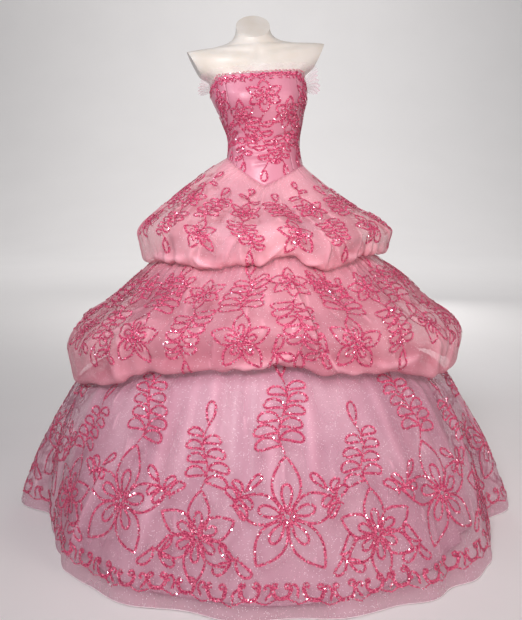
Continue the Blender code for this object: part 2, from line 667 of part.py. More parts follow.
def tier2_point(row, angle):
    """Middle tier: from the underskirt under the upper tier's fold, out, down and under."""
    fold = around(TIER2_FOLD, "height", angle)
    bulge_height = fold + 1.4 * BULGE_RISE
    bulge = TIER2_BULGE + around(TIER2_FOLD, "swell", angle)
    if row < len(TIER2_STEPS):
        top = around(TIER1_FOLD, "height", angle) + 0.012
        down = TIER2_STEPS[row]
        height = top + (bulge_height - top) * down
        start = underskirt_radius(top) + SEAT_GAP + ORGANZA_WALL
        pleats = 0.005 * math.sin(math.radians(19 * angle + 40)) * math.sin(math.pi * down)
        radius = start + (bulge - start) * between(FLARE, "down", "out", down) + pleats
        for puff in PUFFS:
            turn = (angle - puff["angle"] + 180.0) % 360.0 - 180.0
            near = math.exp(-(turn / puff["spread"]) ** 2 - ((height - puff["height"]) / puff["rise"]) ** 2)
            radius += puff["out"] * near * ease(down / 0.2)
        return outward(angle) * radius + Vector((0.0, 0.0, height))
    radius, height = puffed_edge(row - len(TIER2_STEPS), bulge, bulge_height, fold, fold + 0.055,
                                 ORGANZA_WALL)
    return outward(angle) * radius + Vector((0.0, 0.0, height))


TIER3_STEPS = [0.0, 0.07, 0.20, 0.42, 0.66, 0.86, 1.0]


def tier3_point(row, angle):
    """Long organza skirt: from the underskirt under the middle tier, fluted at its hem."""
    top = around(TIER2_FOLD, "height", angle) + 0.030
    down = TIER3_STEPS[row]
    height = top + (HEM_HEIGHT - top) * down
    flute = around(HEM_FLUTES, "radius", angle) - SKIRT_HEM
    radius = (underskirt_radius(height) + SEAT_GAP + ORGANZA_WALL
              + between(STAND_OFF, "down", "out", down) + flute * down ** 1.6)
    return outward(angle) * radius + Vector((0.0, 0.0, height))


def skirts():
    """Each layer is a front and a back half, sewn together at the side seams."""
    layers = [
        ("underskirt", underskirt_point, UNDERSKIRT_ROWS, 20, UNDERSKIRT_WALL, LINING_SATIN, 0.11),
        ("tier1", tier1_point, TIER1_ROWS, 30, ORGANZA_WALL, ORGANZA, 0.11),
        ("tier2", tier2_point, TIER2_ROWS, 36, ORGANZA_WALL, ORGANZA, 0.34),
        ("tier3", tier3_point, len(TIER3_STEPS), 54, ORGANZA_WALL, ORGANZA, 0.45),
    ]
    for name, point, rows, columns, wall, finish, radius in layers:
        gap = seam_angle(radius)
        cloth_wall(f"{name}_front", point, rows, -SIDE_ANGLE + gap, SIDE_ANGLE - gap, columns, wall, finish)
        cloth_wall(f"{name}_back", point, rows, SIDE_ANGLE + gap, 360 - SIDE_ANGLE - gap, columns, wall,
                   finish)


dress_form_torso()
stand()
bodice()
zip_chain()
zip_slider_and_pull()
neckline_ruffle()
skirts()
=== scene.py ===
"""Finishes and fine forms of a strapless ball gown on a dress form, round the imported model.

Metres, +Z up, the gown's front faces -Y. Angles run round the upright axis in degrees, from
the centre front (0) towards +X (90, the viewer's right) to the centre back (180).
"""
import math

import bmesh
import bpy
import numpy as np
from mathutils import Matrix, Vector


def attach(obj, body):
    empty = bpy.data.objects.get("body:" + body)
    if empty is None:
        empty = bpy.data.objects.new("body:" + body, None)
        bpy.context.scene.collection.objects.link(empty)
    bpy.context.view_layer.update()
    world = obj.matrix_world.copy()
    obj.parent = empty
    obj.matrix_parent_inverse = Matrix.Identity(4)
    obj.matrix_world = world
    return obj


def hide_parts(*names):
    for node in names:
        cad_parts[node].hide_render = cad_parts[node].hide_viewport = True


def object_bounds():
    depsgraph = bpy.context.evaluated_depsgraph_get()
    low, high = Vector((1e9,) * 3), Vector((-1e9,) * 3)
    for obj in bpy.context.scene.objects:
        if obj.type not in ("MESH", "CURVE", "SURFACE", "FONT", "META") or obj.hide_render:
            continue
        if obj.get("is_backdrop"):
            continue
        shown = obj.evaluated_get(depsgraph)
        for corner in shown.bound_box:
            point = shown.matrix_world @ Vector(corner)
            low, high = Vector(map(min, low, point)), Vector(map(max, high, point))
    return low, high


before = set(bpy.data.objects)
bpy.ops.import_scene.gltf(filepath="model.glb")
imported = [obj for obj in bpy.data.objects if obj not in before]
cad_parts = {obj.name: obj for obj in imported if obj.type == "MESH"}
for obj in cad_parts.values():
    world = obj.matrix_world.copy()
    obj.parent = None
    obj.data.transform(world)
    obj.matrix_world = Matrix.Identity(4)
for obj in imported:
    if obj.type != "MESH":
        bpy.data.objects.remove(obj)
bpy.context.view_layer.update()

GOWN = "gown_on_form"

# ------------------------------------------------------------------------------ the studio
# A pale sweep of painted floor that curves up far behind, under large soft lamps in an even pale
# room. The camera stands 2.25 m in front of the gown at chest height and looks down a little.
camera = bpy.data.objects.new("camera", bpy.data.cameras.new("camera"))
camera.data.lens = 42.12
camera.data.sensor_width = 36.0
camera.data.clip_start = 0.1
camera.location = (-0.0093, -2.25, 1.0)
camera.rotation_euler = (math.radians(90.0 - 10.3), 0.0, 0.0)
bpy.context.scene.collection.objects.link(camera)
bpy.context.scene.camera = camera
bpy.context.scene.view_settings.view_transform = "Standard"


def new_material(name, colour, roughness, metallic=0.0):
    made = bpy.data.materials.new(name)
    made.use_nodes = True
    shader = made.node_tree.nodes["Principled BSDF"]
    shader.inputs["Base Color"].default_value = (*colour, 1.0)
    shader.inputs["Roughness"].default_value = roughness
    shader.inputs["Metallic"].default_value = metallic
    return made, made.node_tree.nodes, made.node_tree.links, shader


def noise(nodes, links, scale, detail=3.0, stretch=(1.0, 1.0, 1.0)):
    """A noise over the object's own metres, stretched along an axis where its number is small."""
    place = nodes.new("ShaderNodeTexCoord")
    mapping = nodes.new("ShaderNodeMapping")
    mapping.inputs["Scale"].default_value = stretch
    links.new(place.outputs["Object"], mapping.inputs["Vector"])
    made = nodes.new("ShaderNodeTexNoise")
    made.inputs["Scale"].default_value = scale
    made.inputs["Detail"].default_value = detail
    links.new(mapping.outputs["Vector"], made.inputs["Vector"])
    return made


def ramp(nodes, links, source, stops):
    """Colours, or greys, along a value: stops are (place, colour)."""
    made = nodes.new("ShaderNodeValToRGB")
    while len(made.color_ramp.elements) < len(stops):
        made.color_ramp.elements.new(0.5)
    for element, (place, colour) in zip(made.color_ramp.elements, stops):
        element.position = place
        element.color = (*colour, 1.0) if len(colour) == 3 else (colour[0],) * 3 + (1.0,)
    links.new(source, made.inputs["Fac"])
    return made


def toned(nodes, links, shader, source, stops, into="Base Color"):
    """Colours, or greys, along a value, led into one input of the finish."""
    made = ramp(nodes, links, source, stops)
    links.new(made.outputs["Color"], shader.inputs[into])


def bump(nodes, links, shader, height, distance, strength=1.0):
    made = nodes.new("ShaderNodeBump")
    made.inputs["Distance"].default_value = distance
    made.inputs["Strength"].default_value = strength
    links.new(height, made.inputs["Height"])
    links.new(made.outputs["Normal"], shader.inputs["Normal"])
    return made


def new_piece(name, points, faces, finish, smooth=True):
    mesh = bpy.data.meshes.new(name)
    mesh.from_pydata([tuple(point) for point in points], [], faces)
    mesh.materials.append(finish)
    mesh.update()
    if smooth:
        mesh.shade_smooth()
    made = bpy.data.objects.new(name, mesh)
    bpy.context.scene.collection.objects.link(made)
    return made


floor_paint, nodes, links, shader = new_material("floor_paint", (0.86, 0.85, 0.85), 0.75)
speckle = noise(nodes, links, 1.2, 3.0)
toned(nodes, links, shader, speckle.outputs["Fac"],
      [(0.3, (0.85, 0.84, 0.84)), (0.7, (0.87, 0.86, 0.86))])
FLOOR_REACH, SWEEP_START, SWEEP_RADIUS = 30.0, 7.0, 6.0
profile = [(-FLOOR_REACH, 0.0)]
for turn in np.linspace(0.0, 90.0, 19):
    profile.append((SWEEP_START + SWEEP_RADIUS * math.sin(math.radians(turn)),
                    SWEEP_RADIUS * (1.0 - math.cos(math.radians(turn)))))
profile.append((SWEEP_START + SWEEP_RADIUS, 16.0))
floor = new_piece("studio_floor", [(x, y, z) for y, z in profile for x in (-FLOOR_REACH, FLOOR_REACH)],
                  [(2 * row, 2 * row + 1, 2 * row + 3, 2 * row + 2) for row in range(len(profile) - 1)],
                  floor_paint)
floor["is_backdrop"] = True

room = bpy.data.worlds.new("pale_room")
room.use_nodes = True
room.node_tree.nodes["Background"].inputs["Color"].default_value = (0.95, 0.94, 0.96, 1.0)
room.node_tree.nodes["Background"].inputs["Strength"].default_value = 0.24
bpy.context.scene.world = room

LAMPS = [
    dict(name="key_lamp", place=(-0.5, -2.9, 2.1), aim=(0.0, 0.0, 0.82), size=0.8, spread=72.0,
         watts=16.5, tint=(1.0, 0.95, 0.97)),
    dict(name="fill_lamp", place=(2.4, -2.4, 1.6), aim=(0.0, 0.0, 0.70), size=1.4, spread=120.0,
         watts=16.0, tint=(1.0, 0.86, 0.80)),
    dict(name="back_lamp", place=(0.4, 3.6, 1.5), aim=(0.0, 0.0, 0.75), size=2.0, spread=180.0,
         watts=34.0, tint=(1.0, 0.97, 0.95)),
    dict(name="side_lamp", place=(-2.4, -1.1, 2.5), aim=(-0.1, 0.0, 1.32), size=0.8, spread=44.0,
         watts=1.5, tint=(0.84, 0.92, 1.0)),
    dict(name="sweep_lamp", place=(0.0, 5.0, 6.5), aim=(0.0, 12.0, 1.5), size=5.0, spread=180.0,
         watts=420.0, tint=(1.0, 0.98, 0.97)),
]
for row in LAMPS:
    lamp = bpy.data.lights.new(row["name"], "AREA")
    lamp.size = row["size"]
    lamp.spread = math.radians(row["spread"])
    lamp.energy = row["watts"]
    lamp.color = row["tint"]
    stand = bpy.data.objects.new(row["name"], lamp)
    stand.location = row["place"]
    aim = Vector(row["aim"]) - Vector(row["place"])
    stand.rotation_euler = aim.to_track_quat("-Z", "Y").to_euler()
    bpy.context.scene.collection.objects.link(stand)

# -------------------------------------------------------------------------- the dress form
# A limbless display torso, moulded in one glossy cream shell and sawn flat at the neck and at
# both shoulders. Its level sections are the part's own, drawn here round finer rings.
FORM_SECTIONS = [
    dict(height=0.860, half_width=0.150, front=0.112, back=0.122, roundness=2.1, shift=0.000),
    dict(height=0.890, half_width=0.157, front=0.116, back=0.128, roundness=2.1, shift=0.000),
    dict(height=0.930, half_width=0.154, front=0.115, back=0.124, roundness=2.1, shift=0.000),
    dict(height=0.970, half_width=0.141, front=0.110, back=0.113, roundness=2.1, shift=0.000),
    dict(height=1.010, half_width=0.124, front=0.103, back=0.101, roundness=2.1, shift=0.000),
    dict(height=1.050, half_width=0.109, front=0.096, back=0.089, roundness=2.1, shift=0.000),
    dict(height=1.090, half_width=0.103, front=0.092, back=0.083, roundness=2.1, shift=-0.001),
    dict(height=1.125, half_width=0.105, front=0.096, back=0.084, roundness=2.1, shift=-0.002),
    dict(height=1.160, half_width=0.115, front=0.106, back=0.088, roundness=2.15, shift=-0.006),
    dict(height=1.190, half_width=0.124, front=0.117, back=0.092, roundness=2.2, shift=-0.010),
    dict(height=1.215, half_width=0.134, front=0.123, back=0.095, roundness=2.2, shift=-0.013),
    dict(height=1.240, half_width=0.140, front=0.122, back=0.097, roundness=2.2, shift=-0.016),
    dict(height=1.265, half_width=0.140, front=0.113, back=0.098, roundness=2.2, shift=-0.019),
    dict(height=1.288, half_width=0.146, front=0.102, back=0.097, roundness=2.2, shift=-0.022),
    dict(height=1.310, half_width=0.178, front=0.093, back=0.092, roundness=2.1, shift=-0.022),
    dict(height=1.335, half_width=0.206, front=0.082, back=0.085, roundness=2.0, shift=-0.023),
    dict(height=1.358, half_width=0.218, front=0.073, back=0.076, roundness=1.9, shift=-0.025),
    dict(height=1.373, half_width=0.216, front=0.066, back=0.068, roundness=1.65, shift=-0.027),
    dict(height=1.380, half_width=0.196, front=0.061, back=0.062, roundness=1.45, shift=-0.029),
    dict(height=1.384, half_width=0.140, front=0.058, back=0.058, roundness=1.5, shift=-0.031),
    dict(height=1.392, half_width=0.090, front=0.055, back=0.054, roundness=1.8, shift=-0.032),
    dict(height=1.406, half_width=0.062, front=0.053, back=0.051, roundness=2.0, shift=-0.033),
    dict(height=1.425, half_width=0.052, front=0.051, back=0.049, roundness=2.0, shift=-0.033),
    dict(height=1.455, half_width=0.049, front=0.049, back=0.048, roundness=2.0, shift=-0.034),
    dict(height=1.520, half_width=0.048, front=0.048, back=0.048, roundness=2.0, shift=-0.034),
]
BUST_FULLNESS = 0.010
BUST_ANGLE = 33.0
BUST_HEIGHT = 1.220
CHEST_TURN = 8.0
SHOULDER_TILT = 0.085
CUT_TIP = (0.205, 1.380)
CUT_ARMPIT = (0.158, 1.292)
CUT_FLOOR = 1.272
NECK_CUT = (-0.034, 0.0, 1.442)
NECK_LEAN = 38.0


def bent(part, start, stop, leaving, arriving):
    """Part of the way from start to stop, on a curve that leaves and arrives at two slopes."""
    square, cube = part ** 2, part ** 3
    return ((2 * cube - 3 * square + 1) * start + (cube - 2 * square + part) * leaving
            + (3 * square - 2 * cube) * stop + (cube - square) * arriving)


def smooth_between(table, key, column, at):
    """Values of a column at places between its rows, eased so that sections join smoothly."""
    rows = sorted(table, key=lambda row: row[key])
    x = np.array([row[key] for row in rows], float)
    y = np.array([row[column] for row in rows], float)
    at = np.clip(at, x[0], x[-1])
    low = np.clip(np.searchsorted(x, at) - 1, 0, len(x) - 2)
    high = low + 1
    before = np.maximum(low - 1, 0)
    after = np.minimum(high + 1, len(x) - 1)
    span = x[high] - x[low]
    part = (at - x[low]) / span
    limit = 3.0 * np.abs(y[high] - y[low])
    slope_low = np.clip((y[high] - y[before]) / (x[high] - x[before]) * span, -limit, limit)
    slope_high = np.clip((y[after] - y[low]) / (x[after] - x[low]) * span, -limit, limit)
    return bent(part, y[low], y[high], slope_low, slope_high)


def eased(value):
    value = np.clip(value, 0.0, 1.0)
    return value * value * (3.0 - 2.0 * value)


def wrapped(angle):
    return (angle + 180.0) % 360.0 - 180.0


def form_ring(angle, height):
    """The form's level outline at an angle and height, before its turn and its tilt."""
    sine, cosine = np.sin(np.radians(angle)), np.cos(np.radians(angle))
    power = 2.0 / smooth_between(FORM_SECTIONS, "height", "roundness", height)
    width = smooth_between(FORM_SECTIONS, "height", "half_width", height)
    depth = np.where(cosine > 0, smooth_between(FORM_SECTIONS, "height", "front", height),
                     smooth_between(FORM_SECTIONS, "height", "back", height))
    lobe = sum(np.exp(-((wrapped(angle) - side * BUST_ANGLE) / 17.0) ** 2) for side in (-1, 1))
    depth = depth + BUST_FULLNESS * lobe * np.exp(-((height - BUST_HEIGHT) / 0.045) ** 2)
    return (np.sign(sine) * width * np.abs(sine) ** power,
            -np.sign(cosine) * depth * np.abs(cosine) ** power)


def form_point(angle, height, offset=0.0):
    """Points on the form's surface, or that far outside it, as an array of x, y, z."""
    angle, height = np.broadcast_arrays(np.asarray(angle, float), np.asarray(height, float))
    x, y = form_ring(angle, height)
    x_ahead, y_ahead = form_ring(angle + 1.0, height)
    x_behind, y_behind = form_ring(angle - 1.0, height)
    along_x, along_y = x_ahead - x_behind, y_ahead - y_behind
    length = np.hypot(along_x, along_y)
    x, y = x + offset * along_y / length, y - offset * along_x / length
    turn = math.radians(CHEST_TURN) * eased((height - 1.09) / 0.17)
    level = height + SHOULDER_TILT * eased((height - 1.20) / 0.12) * x
    shift = smooth_between(FORM_SECTIONS, "height", "shift", height)
    return np.stack([x * np.cos(turn) - y * np.sin(turn) + shift,
                     x * np.sin(turn) + y * np.cos(turn), level], axis=-1)


def cut_off(bm, place, direction):
    """Saws the shell off at a plane, above CUT_FLOOR, and closes the cut with one flat face."""
    upper = {vert for vert in bm.verts if vert.co.z > CUT_FLOOR}
    edges = [edge for edge in bm.edges if upper.issuperset(edge.verts)]
    faces = [face for face in bm.faces if upper.issuperset(face.verts)]
    cut = bmesh.ops.bisect_plane(bm, geom=list(upper) + edges + faces, plane_co=place,
                                 plane_no=direction, clear_outer=True, dist=1e-5)
    rim = [item for item in cut["geom_cut"] if isinstance(item, bmesh.types.BMEdge)]
    bmesh.ops.contextual_create(bm, geom=rim)


def collarbones(angle, height):
    """The slight relief of the collarbones, the hollows above them and the notch between them."""
    x, _ = form_ring(angle, height)
    away = np.abs(x)
    bone = 1.338 + 0.13 * away
    share = eased((away - 0.008) / 0.03) * eased((0.175 - away) / 0.06) * (np.cos(np.radians(angle)) > 0)
    ridge = 0.0022 * np.exp(-((height - bone) / 0.012) ** 2)
    hollow = 0.0040 * np.exp(-((height - bone - 0.018) / 0.009) ** 2)
    notch = 0.0055 * np.exp(-(x / 0.015) ** 2 - ((height - 1.352) / 0.016) ** 2)
    return share * (ridge - hollow) - notch * (np.cos(np.radians(angle)) > 0)


FORM_SIDES = 144
section_heights = [row["height"] for row in FORM_SECTIONS]
ring_heights = []
for low, high in zip(section_heights, section_heights[1:]):
    ring_heights += list(np.linspace(low, high, 5)[:-1])
ring_heights.append(section_heights[-1])
bm = bmesh.new()
rings = []
for height in ring_heights:
    round_it = np.arange(FORM_SIDES) * 360.0 / FORM_SIDES
    ring = form_point(round_it, height, collarbones(round_it, height))
    rings.append([bm.verts.new(point) for point in ring])
for low, high in zip(rings, rings[1:]):
    for side in range(FORM_SIDES):
        other = (side + 1) % FORM_SIDES
        bm.faces.new((low[side], low[other], high[other], high[side]))
bm.faces.new(rings[0][::-1])
bm.faces.new(rings[-1])
bmesh.ops.recalc_face_normals(bm, faces=bm.faces)
turn = Matrix.Rotation(math.radians(CHEST_TURN), 3, "Z")
cut_middle = 0.5 * (CUT_TIP[1] + CUT_ARMPIT[1])
shift = Vector((float(smooth_between(FORM_SECTIONS, "height", "shift", cut_middle)), 0.0, 0.0))
for side in (-1, 1):
    tip, armpit = (Vector((side * wide, 0.0, height + side * SHOULDER_TILT * wide))
                   for wide, height in (CUT_TIP, CUT_ARMPIT))
    slope = armpit - tip
    facing = Vector((-slope.z, 0.0, slope.x)) * side
    cut_off(bm, turn @ tip + shift, turn @ facing.normalized())
lean = math.radians(NECK_LEAN)
cut_off(bm, Vector(NECK_CUT), Vector((0.0, -math.sin(lean), math.cos(lean))))

cream_gloss, nodes, links, shader = new_material("cream_gloss_shell", (0.74, 0.70, 0.64), 0.24)
shader.inputs["Coat Weight"].default_value = 0.2
shader.inputs["Coat Roughness"].default_value = 0.25
shader.inputs["Subsurface Weight"].default_value = 0.08
shader.inputs["Subsurface Radius"].default_value = (0.02, 0.012, 0.008)
mottle = noise(nodes, links, 14.0, 5.0)
toned(nodes, links, shader, mottle.outputs["Fac"],
      [(0.25, (0.56, 0.51, 0.44)), (0.55, (0.61, 0.575, 0.525)), (0.8, (0.65, 0.62, 0.58))])
grain = noise(nodes, links, 420.0, 2.0)
toned(nodes, links, shader, grain.outputs["Fac"], [(0.3, (0.32,)), (0.8, (0.44,))], "Roughness")
bump(nodes, links, shader, grain.outputs["Fac"], 0.00012, 0.5)

mesh = bpy.data.meshes.new("dress_form_shell")
bm.to_mesh(mesh)
bm.free()
mesh.materials.append(cream_gloss)
mesh.shade_smooth()
mesh.set_sharp_from_angle(angle=math.radians(40))
form_shell = bpy.data.objects.new("dress_form_shell", mesh)
bpy.context.scene.collection.objects.link(form_shell)
rounding = form_shell.modifiers.new("sawn_edges", "BEVEL")
rounding.width = 0.0016
rounding.segments = 2
rounding.angle_limit = math.radians(40)
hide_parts("dress_form_torso")
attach(form_shell, GOWN)

# --------------------------------------------------------------------- the form's steel stand
# A turned steel base plate and a drawn steel tube, both brushed. The skirts hide them from
# everywhere but below.
brushed, nodes, links, shader = new_material("brushed_steel", (0.56, 0.56, 0.57), 0.32, 1.0)
streaks = noise(nodes, links, 90.0, 4.0, stretch=(6.0, 6.0, 0.35))
toned(nodes, links, shader, streaks.outputs["Fac"],
      [(0.3, (0.46, 0.46, 0.47)), (0.7, (0.63, 0.63, 0.64))])
toned(nodes, links, shader, streaks.outputs["Fac"], [(0.3, (0.24,)), (0.75, (0.42,))], "Roughness")
bump(nodes, links, shader, streaks.outputs["Fac"], 0.0002, 0.4)
for node in ("form_base", "form_pole"):
    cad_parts[node].data.materials.clear()
    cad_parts[node].data.materials.append(brushed)

# ------------------------------------------------------------------------------ the bodice
# Five boned satin panels, seamed at the princess lines and the sides and zipped at the back,
# with outlines of small overlapping sequins and crystals sewn on by hand.
FORM_CLEARANCE = 0.0020
BODICE_WALL = 0.0018
SEAM_GAP = 0.0003
NECKLINE_FRONT, NECKLINE_SIDE, NECKLINE_BACK = 1.297, 1.262, 1.205
WAIST_POINT, WAIST_SIDE, WAIST_BACK, WAIST_TILT = 0.978, 1.050, 1.058, -0.010
PRINCESS_ANGLE, SIDE_ANGLE = 45.0, 90.0
ZIP_WIDTH = 0.0064
zip_half_angle = math.degrees((0.5 * ZIP_WIDTH + SEAM_GAP) / 0.092)


def neckline(angle):
    """Height of the bodice's upper edge: straight across the front, lower to the back."""
    away = np.abs(wrapped(angle))
    return (NECKLINE_FRONT + (NECKLINE_SIDE - NECKLINE_FRONT) * eased((away - 38.0) / 55.0)
            + (NECKLINE_BACK - NECKLINE_SIDE) * eased((away - 80.0) / 85.0))


def waist_seam(angle):
    """Height of the waist seam: a V in front, nearly level behind."""
    turn = np.radians(angle)
    middle = np.where(np.cos(turn) > 0, WAIST_POINT, WAIST_BACK)
    return middle + (WAIST_SIDE - middle) * np.abs(np.sin(turn)) + WAIST_TILT * np.sin(turn)


def even_rows(rows, count):
    """The same cloth with its rows spread evenly along its length, from top to foot."""
    steps = np.linalg.norm(np.diff(rows, axis=0), axis=2)
    run = np.concatenate([np.zeros((1, rows.shape[1])), np.cumsum(steps, axis=0)])
    made = np.empty((count, rows.shape[1], 3))
    for index in range(rows.shape[1]):
        at = np.linspace(0.0, run[-1, index], count)
        for axis in range(3):
            made[:, index, axis] = np.interp(at, run[:, index], rows[:, index, axis])
    return made, run[-1]


def outward_normals(place):
    """The cloth's outward direction at each point of its grid."""
    down = np.gradient(place, axis=0)
    along = np.gradient(place, axis=1)
    normal = np.cross(down, along)
    return normal / np.maximum(np.linalg.norm(normal, axis=2, keepdims=True), 1e-12)


def gathers(angles, count, shift):
    """Uneven gathers round the cloth, between -1 and 1."""
    turn = np.radians(angles)
    return (np.sin(count * turn + 2.2 * np.sin(5 * turn + shift) + 1.3 * np.sin(11 * turn + 2.0 * shift))
            * (0.65 + 0.35 * np.sin(7 * turn + shift)))


def creased(place, length, angles, creases, ripples):
    """Adds folds along lines on the cloth and gathers round it; also says how far it lies in two layers,
    with a painted highlight added along ridges, crisp creases and gather crests.

    A crease is (angle, down) to (angle, down), width, depth, bow and kind. A depth above 0 stands
    proud and below 0 sinks. A tuck is steep on its line and falls away to the right of its way.
    """
    normal = outward_normals(place)
    rows = place.shape[0]
    radius = np.hypot(place[:, :, 0], place[:, :, 1])
    down = np.linspace(0.0, 1.0, rows)[:, None] * length[None, :]
    lift = np.zeros(radius.shape)
    twofold_and_sheen = np.zeros(radius.shape)
    for (from_angle, from_down), (to_angle, to_down), width, depth, bow, kind in creases:
        middle = 0.5 * (from_angle + to_angle)
        turn = wrapped(angles - middle)
        beside = np.abs(turn) < 80.0
        across = np.where(beside, np.radians(turn), 9.0)[None, :] * radius
        near = np.argmin(np.abs(turn))
        level = int(np.clip(0.5 * (from_down + to_down) / length[near], 0, 1) * (rows - 1))
        reach = math.radians(0.5 * (to_angle - from_angle)) * radius[level, near]
        start = np.array([-reach, from_down])
        way = np.array([reach, to_down]) - start
        run = np.linalg.norm(way)
        way = way / run
        along = (across - start[0]) * way[0] + (down - start[1]) * way[1]
        aside = (across - start[0]) * way[1] - (down - start[1]) * way[0]
        part = along / run
        taper = eased(np.minimum(part, 1.0 - part) / 0.35)
        aside = aside - bow * run * np.sin(np.pi * np.clip(part, 0, 1))
        if kind == "tuck":
            rise = 1.0 / (1.0 + np.exp(-np.clip(aside / 0.0013, -30.0, 30.0)))
            form = rise * np.exp(-np.maximum(aside, 0.0) / width)
        elif kind == "crisp":
            form = np.exp(0.2 - np.sqrt((aside / width) ** 2 + 0.04))
        else:
            form = np.exp(-(aside / width) ** 2)
        lift += depth * taper * form
        # The value carried on is the cloth lying in two where a tuck overlaps it; along ridges and crisp
        # creases it is a painted highlight line, strongest on crisp creases.
        overlap_and_crest = rise * np.exp(-np.maximum(aside, 0.0) / 0.011) if kind == "tuck" else form
        amount = 0.75 if kind == "crisp" else min(abs(depth) / 0.006, 1.0)
        twofold_and_sheen += amount * taper * overlap_and_crest * (1.0 if depth > 0 else 0.3)
    for count, depth, at, spread, shift in ripples:
        round_it = gathers(angles, count, shift)[None, :] * np.exp(-((down - at) / spread) ** 2)
        lift += depth * round_it
        # Painted highlight on the crests of the gathers.
        twofold_and_sheen += 0.35 * np.maximum(round_it, 0.0)
    return place + normal * lift[:, :, None], np.clip(twofold_and_sheen, 0.0, 1.0)


class Cloth:
    """One layer of cloth, worked out at any angles: rows(angles) gives its points, top to foot."""

    def __init__(self, rows, count, creases=(), ripples=(), turns=720):
        self.rows, self.count, self.creases, self.ripples = rows, count, creases, ripples
        self.angles = np.linspace(-180.0, 180.0, turns + 1)
        self.place, self.length, _ = self.at(self.angles)
        self.normal = outward_normals(self.place)

    def at(self, angles):
        place, length = even_rows(self.rows(angles), self.count)
        place, twofold_and_sheen = creased(place, length, angles, self.creases, self.ripples)
        return place, length, twofold_and_sheen

    def find(self, angle, down):
        """Points and outward directions at angles and at metres down from the top edge."""
        column = (wrapped(angle) + 180.0) / 360.0 * (len(self.angles) - 1)
        left = np.clip(column.astype(int), 0, len(self.angles) - 2)
        aside = column - left
        length = self.length[left] * (1 - aside) + self.length[left + 1] * aside
        row = np.clip(down / length, 0.0, 1.0) * (self.count - 1)
        upper = np.clip(row.astype(int), 0, self.count - 2)
        below = row - upper
        found = []
        for grid in (self.place, self.normal):
            top = grid[upper, left] * (1 - aside)[:, None] + grid[upper, left + 1] * aside[:, None]
            foot = grid[upper + 1, left] * (1 - aside)[:, None] + grid[upper + 1, left + 1] * aside[:, None]
            found.append(top * (1 - below)[:, None] + foot * below[:, None])
        return found[0], found[1], down / length

    def length_at(self, angle):
        return float(np.interp(wrapped(angle), self.angles, self.length))


# Painted light, in part: the band above a turned-under edge is drawn paler as well as denser.
BACKED_PALER_RISE, BACKED_PALER_SHARE = 0.050, 0.55       # a turned-under edge backs the cloth this far above it


def panel(name, cloth, start, stop, columns, finish, wall=0.0, turned_in=0.0):
    """One cut piece of a layer. turned_in rounds its seamed edges over to the inside.

    Its point value says how far the cloth lies in two layers and carries painted highlight along creases and
    gather crests; just above a turned-under lower fold it is raised in a paler band, partly two layers and
    partly painted light, and it is -1 where the cloth is turned under.
    """
    angles = np.linspace(start, stop, columns + 1)
    place, length, twofold_and_sheen = cloth.at(angles)
    if turned_in:
        normal = outward_normals(place)
        radius = np.hypot(place[:, :, 0], place[:, :, 1])
        aside = np.radians(np.minimum(angles - start, stop - angles))[None, :] * radius
        place = place - normal * (turned_in * np.exp(-(aside / 0.0022) ** 2))[:, :, None]
    rows = place.shape[0]
    width = columns + 1
    faces = []
    for row in range(rows - 1):
        for left in range(row * width, row * width + columns):
            faces.append((left, left + width, left + width + 1, left + 1))
    made = new_piece(name, place.reshape(-1, 3), faces, finish)
    height = place[:, :, 2]
    lowest = height.argmin(axis=0)[None, :]
    # A paler, denser band just above the lower fold: partly two layers of cloth, partly painted light that
    # lifts the shade there.
    backed_and_lightened = np.clip(1.0 - (height - height.min(axis=0)) / BACKED_PALER_RISE, 0.0, 1.0) * (lowest < rows - 3)
    twofold_and_sheen = np.maximum(twofold_and_sheen, BACKED_PALER_SHARE * backed_and_lightened)
    twofold_and_sheen = np.where(np.arange(rows)[:, None] > lowest + 1, -1.0, twofold_and_sheen)
    twofold_sheen_attribute = made.data.attributes.new("twofold_and_sheen", "FLOAT", "POINT")
    twofold_sheen_attribute.data.foreach_set("value", twofold_and_sheen.ravel().astype(np.float32))
    if wall:
        shell = made.modifiers.new("cloth_thickness", "SOLIDIFY")
        shell.thickness = wall
        shell.offset = -1.0
    return made


def bodice_rows(angles):
    down = np.linspace(0.0, 1.0, 70)[:, None]
    high, low = neckline(angles), waist_seam(angles) + 2 * SEAM_GAP
    return form_point(angles[None, :], high + (low - high) * down, FORM_CLEARANCE + BODICE_WALL)


BODICE_CREASES = [         # (angle, down) to (angle, down), width, depth, bow, kind
    ((-70, 0.175), (-30, 0.185), 0.0050, -0.0034, 0.06, "ridge"),
    ((-64, 0.200), (-20, 0.226), 0.0060, 0.0046, -0.05, "ridge"),
    ((-42, 0.214), (-2, 0.206), 0.0050, -0.0034, 0.04, "ridge"),
    ((-34, 0.252), (10, 0.240), 0.0065, 0.0042, 0.05, "ridge"),
    ((-20, 0.272), (16, 0.262), 0.0050, -0.0030, 0.04, "ridge"),
    ((10, 0.205), (56, 0.190), 0.0055, -0.0036, 0.05, "ridge"),
    ((22, 0.228), (66, 0.200), 0.0060, 0.0044, 0.05, "ridge"),
    ((30, 0.172), (70, 0.160), 0.0050, 0.0030, -0.05, "ridge"),
    ((96, 0.150), (150, 0.128), 0.0045, -0.0024, 0.05, "ridge"),
    ((100, 0.176), (158, 0.118), 0.0050, 0.0027, 0.05, "ridge"),
    ((-152, 0.124), (-98, 0.152), 0.0045, -0.0024, 0.05, "ridge"),
    ((-160, 0.112), (-104, 0.176), 0.0050, 0.0027, -0.05, "ridge"),
]
bodice = Cloth(bodice_rows, 84, BODICE_CREASES)


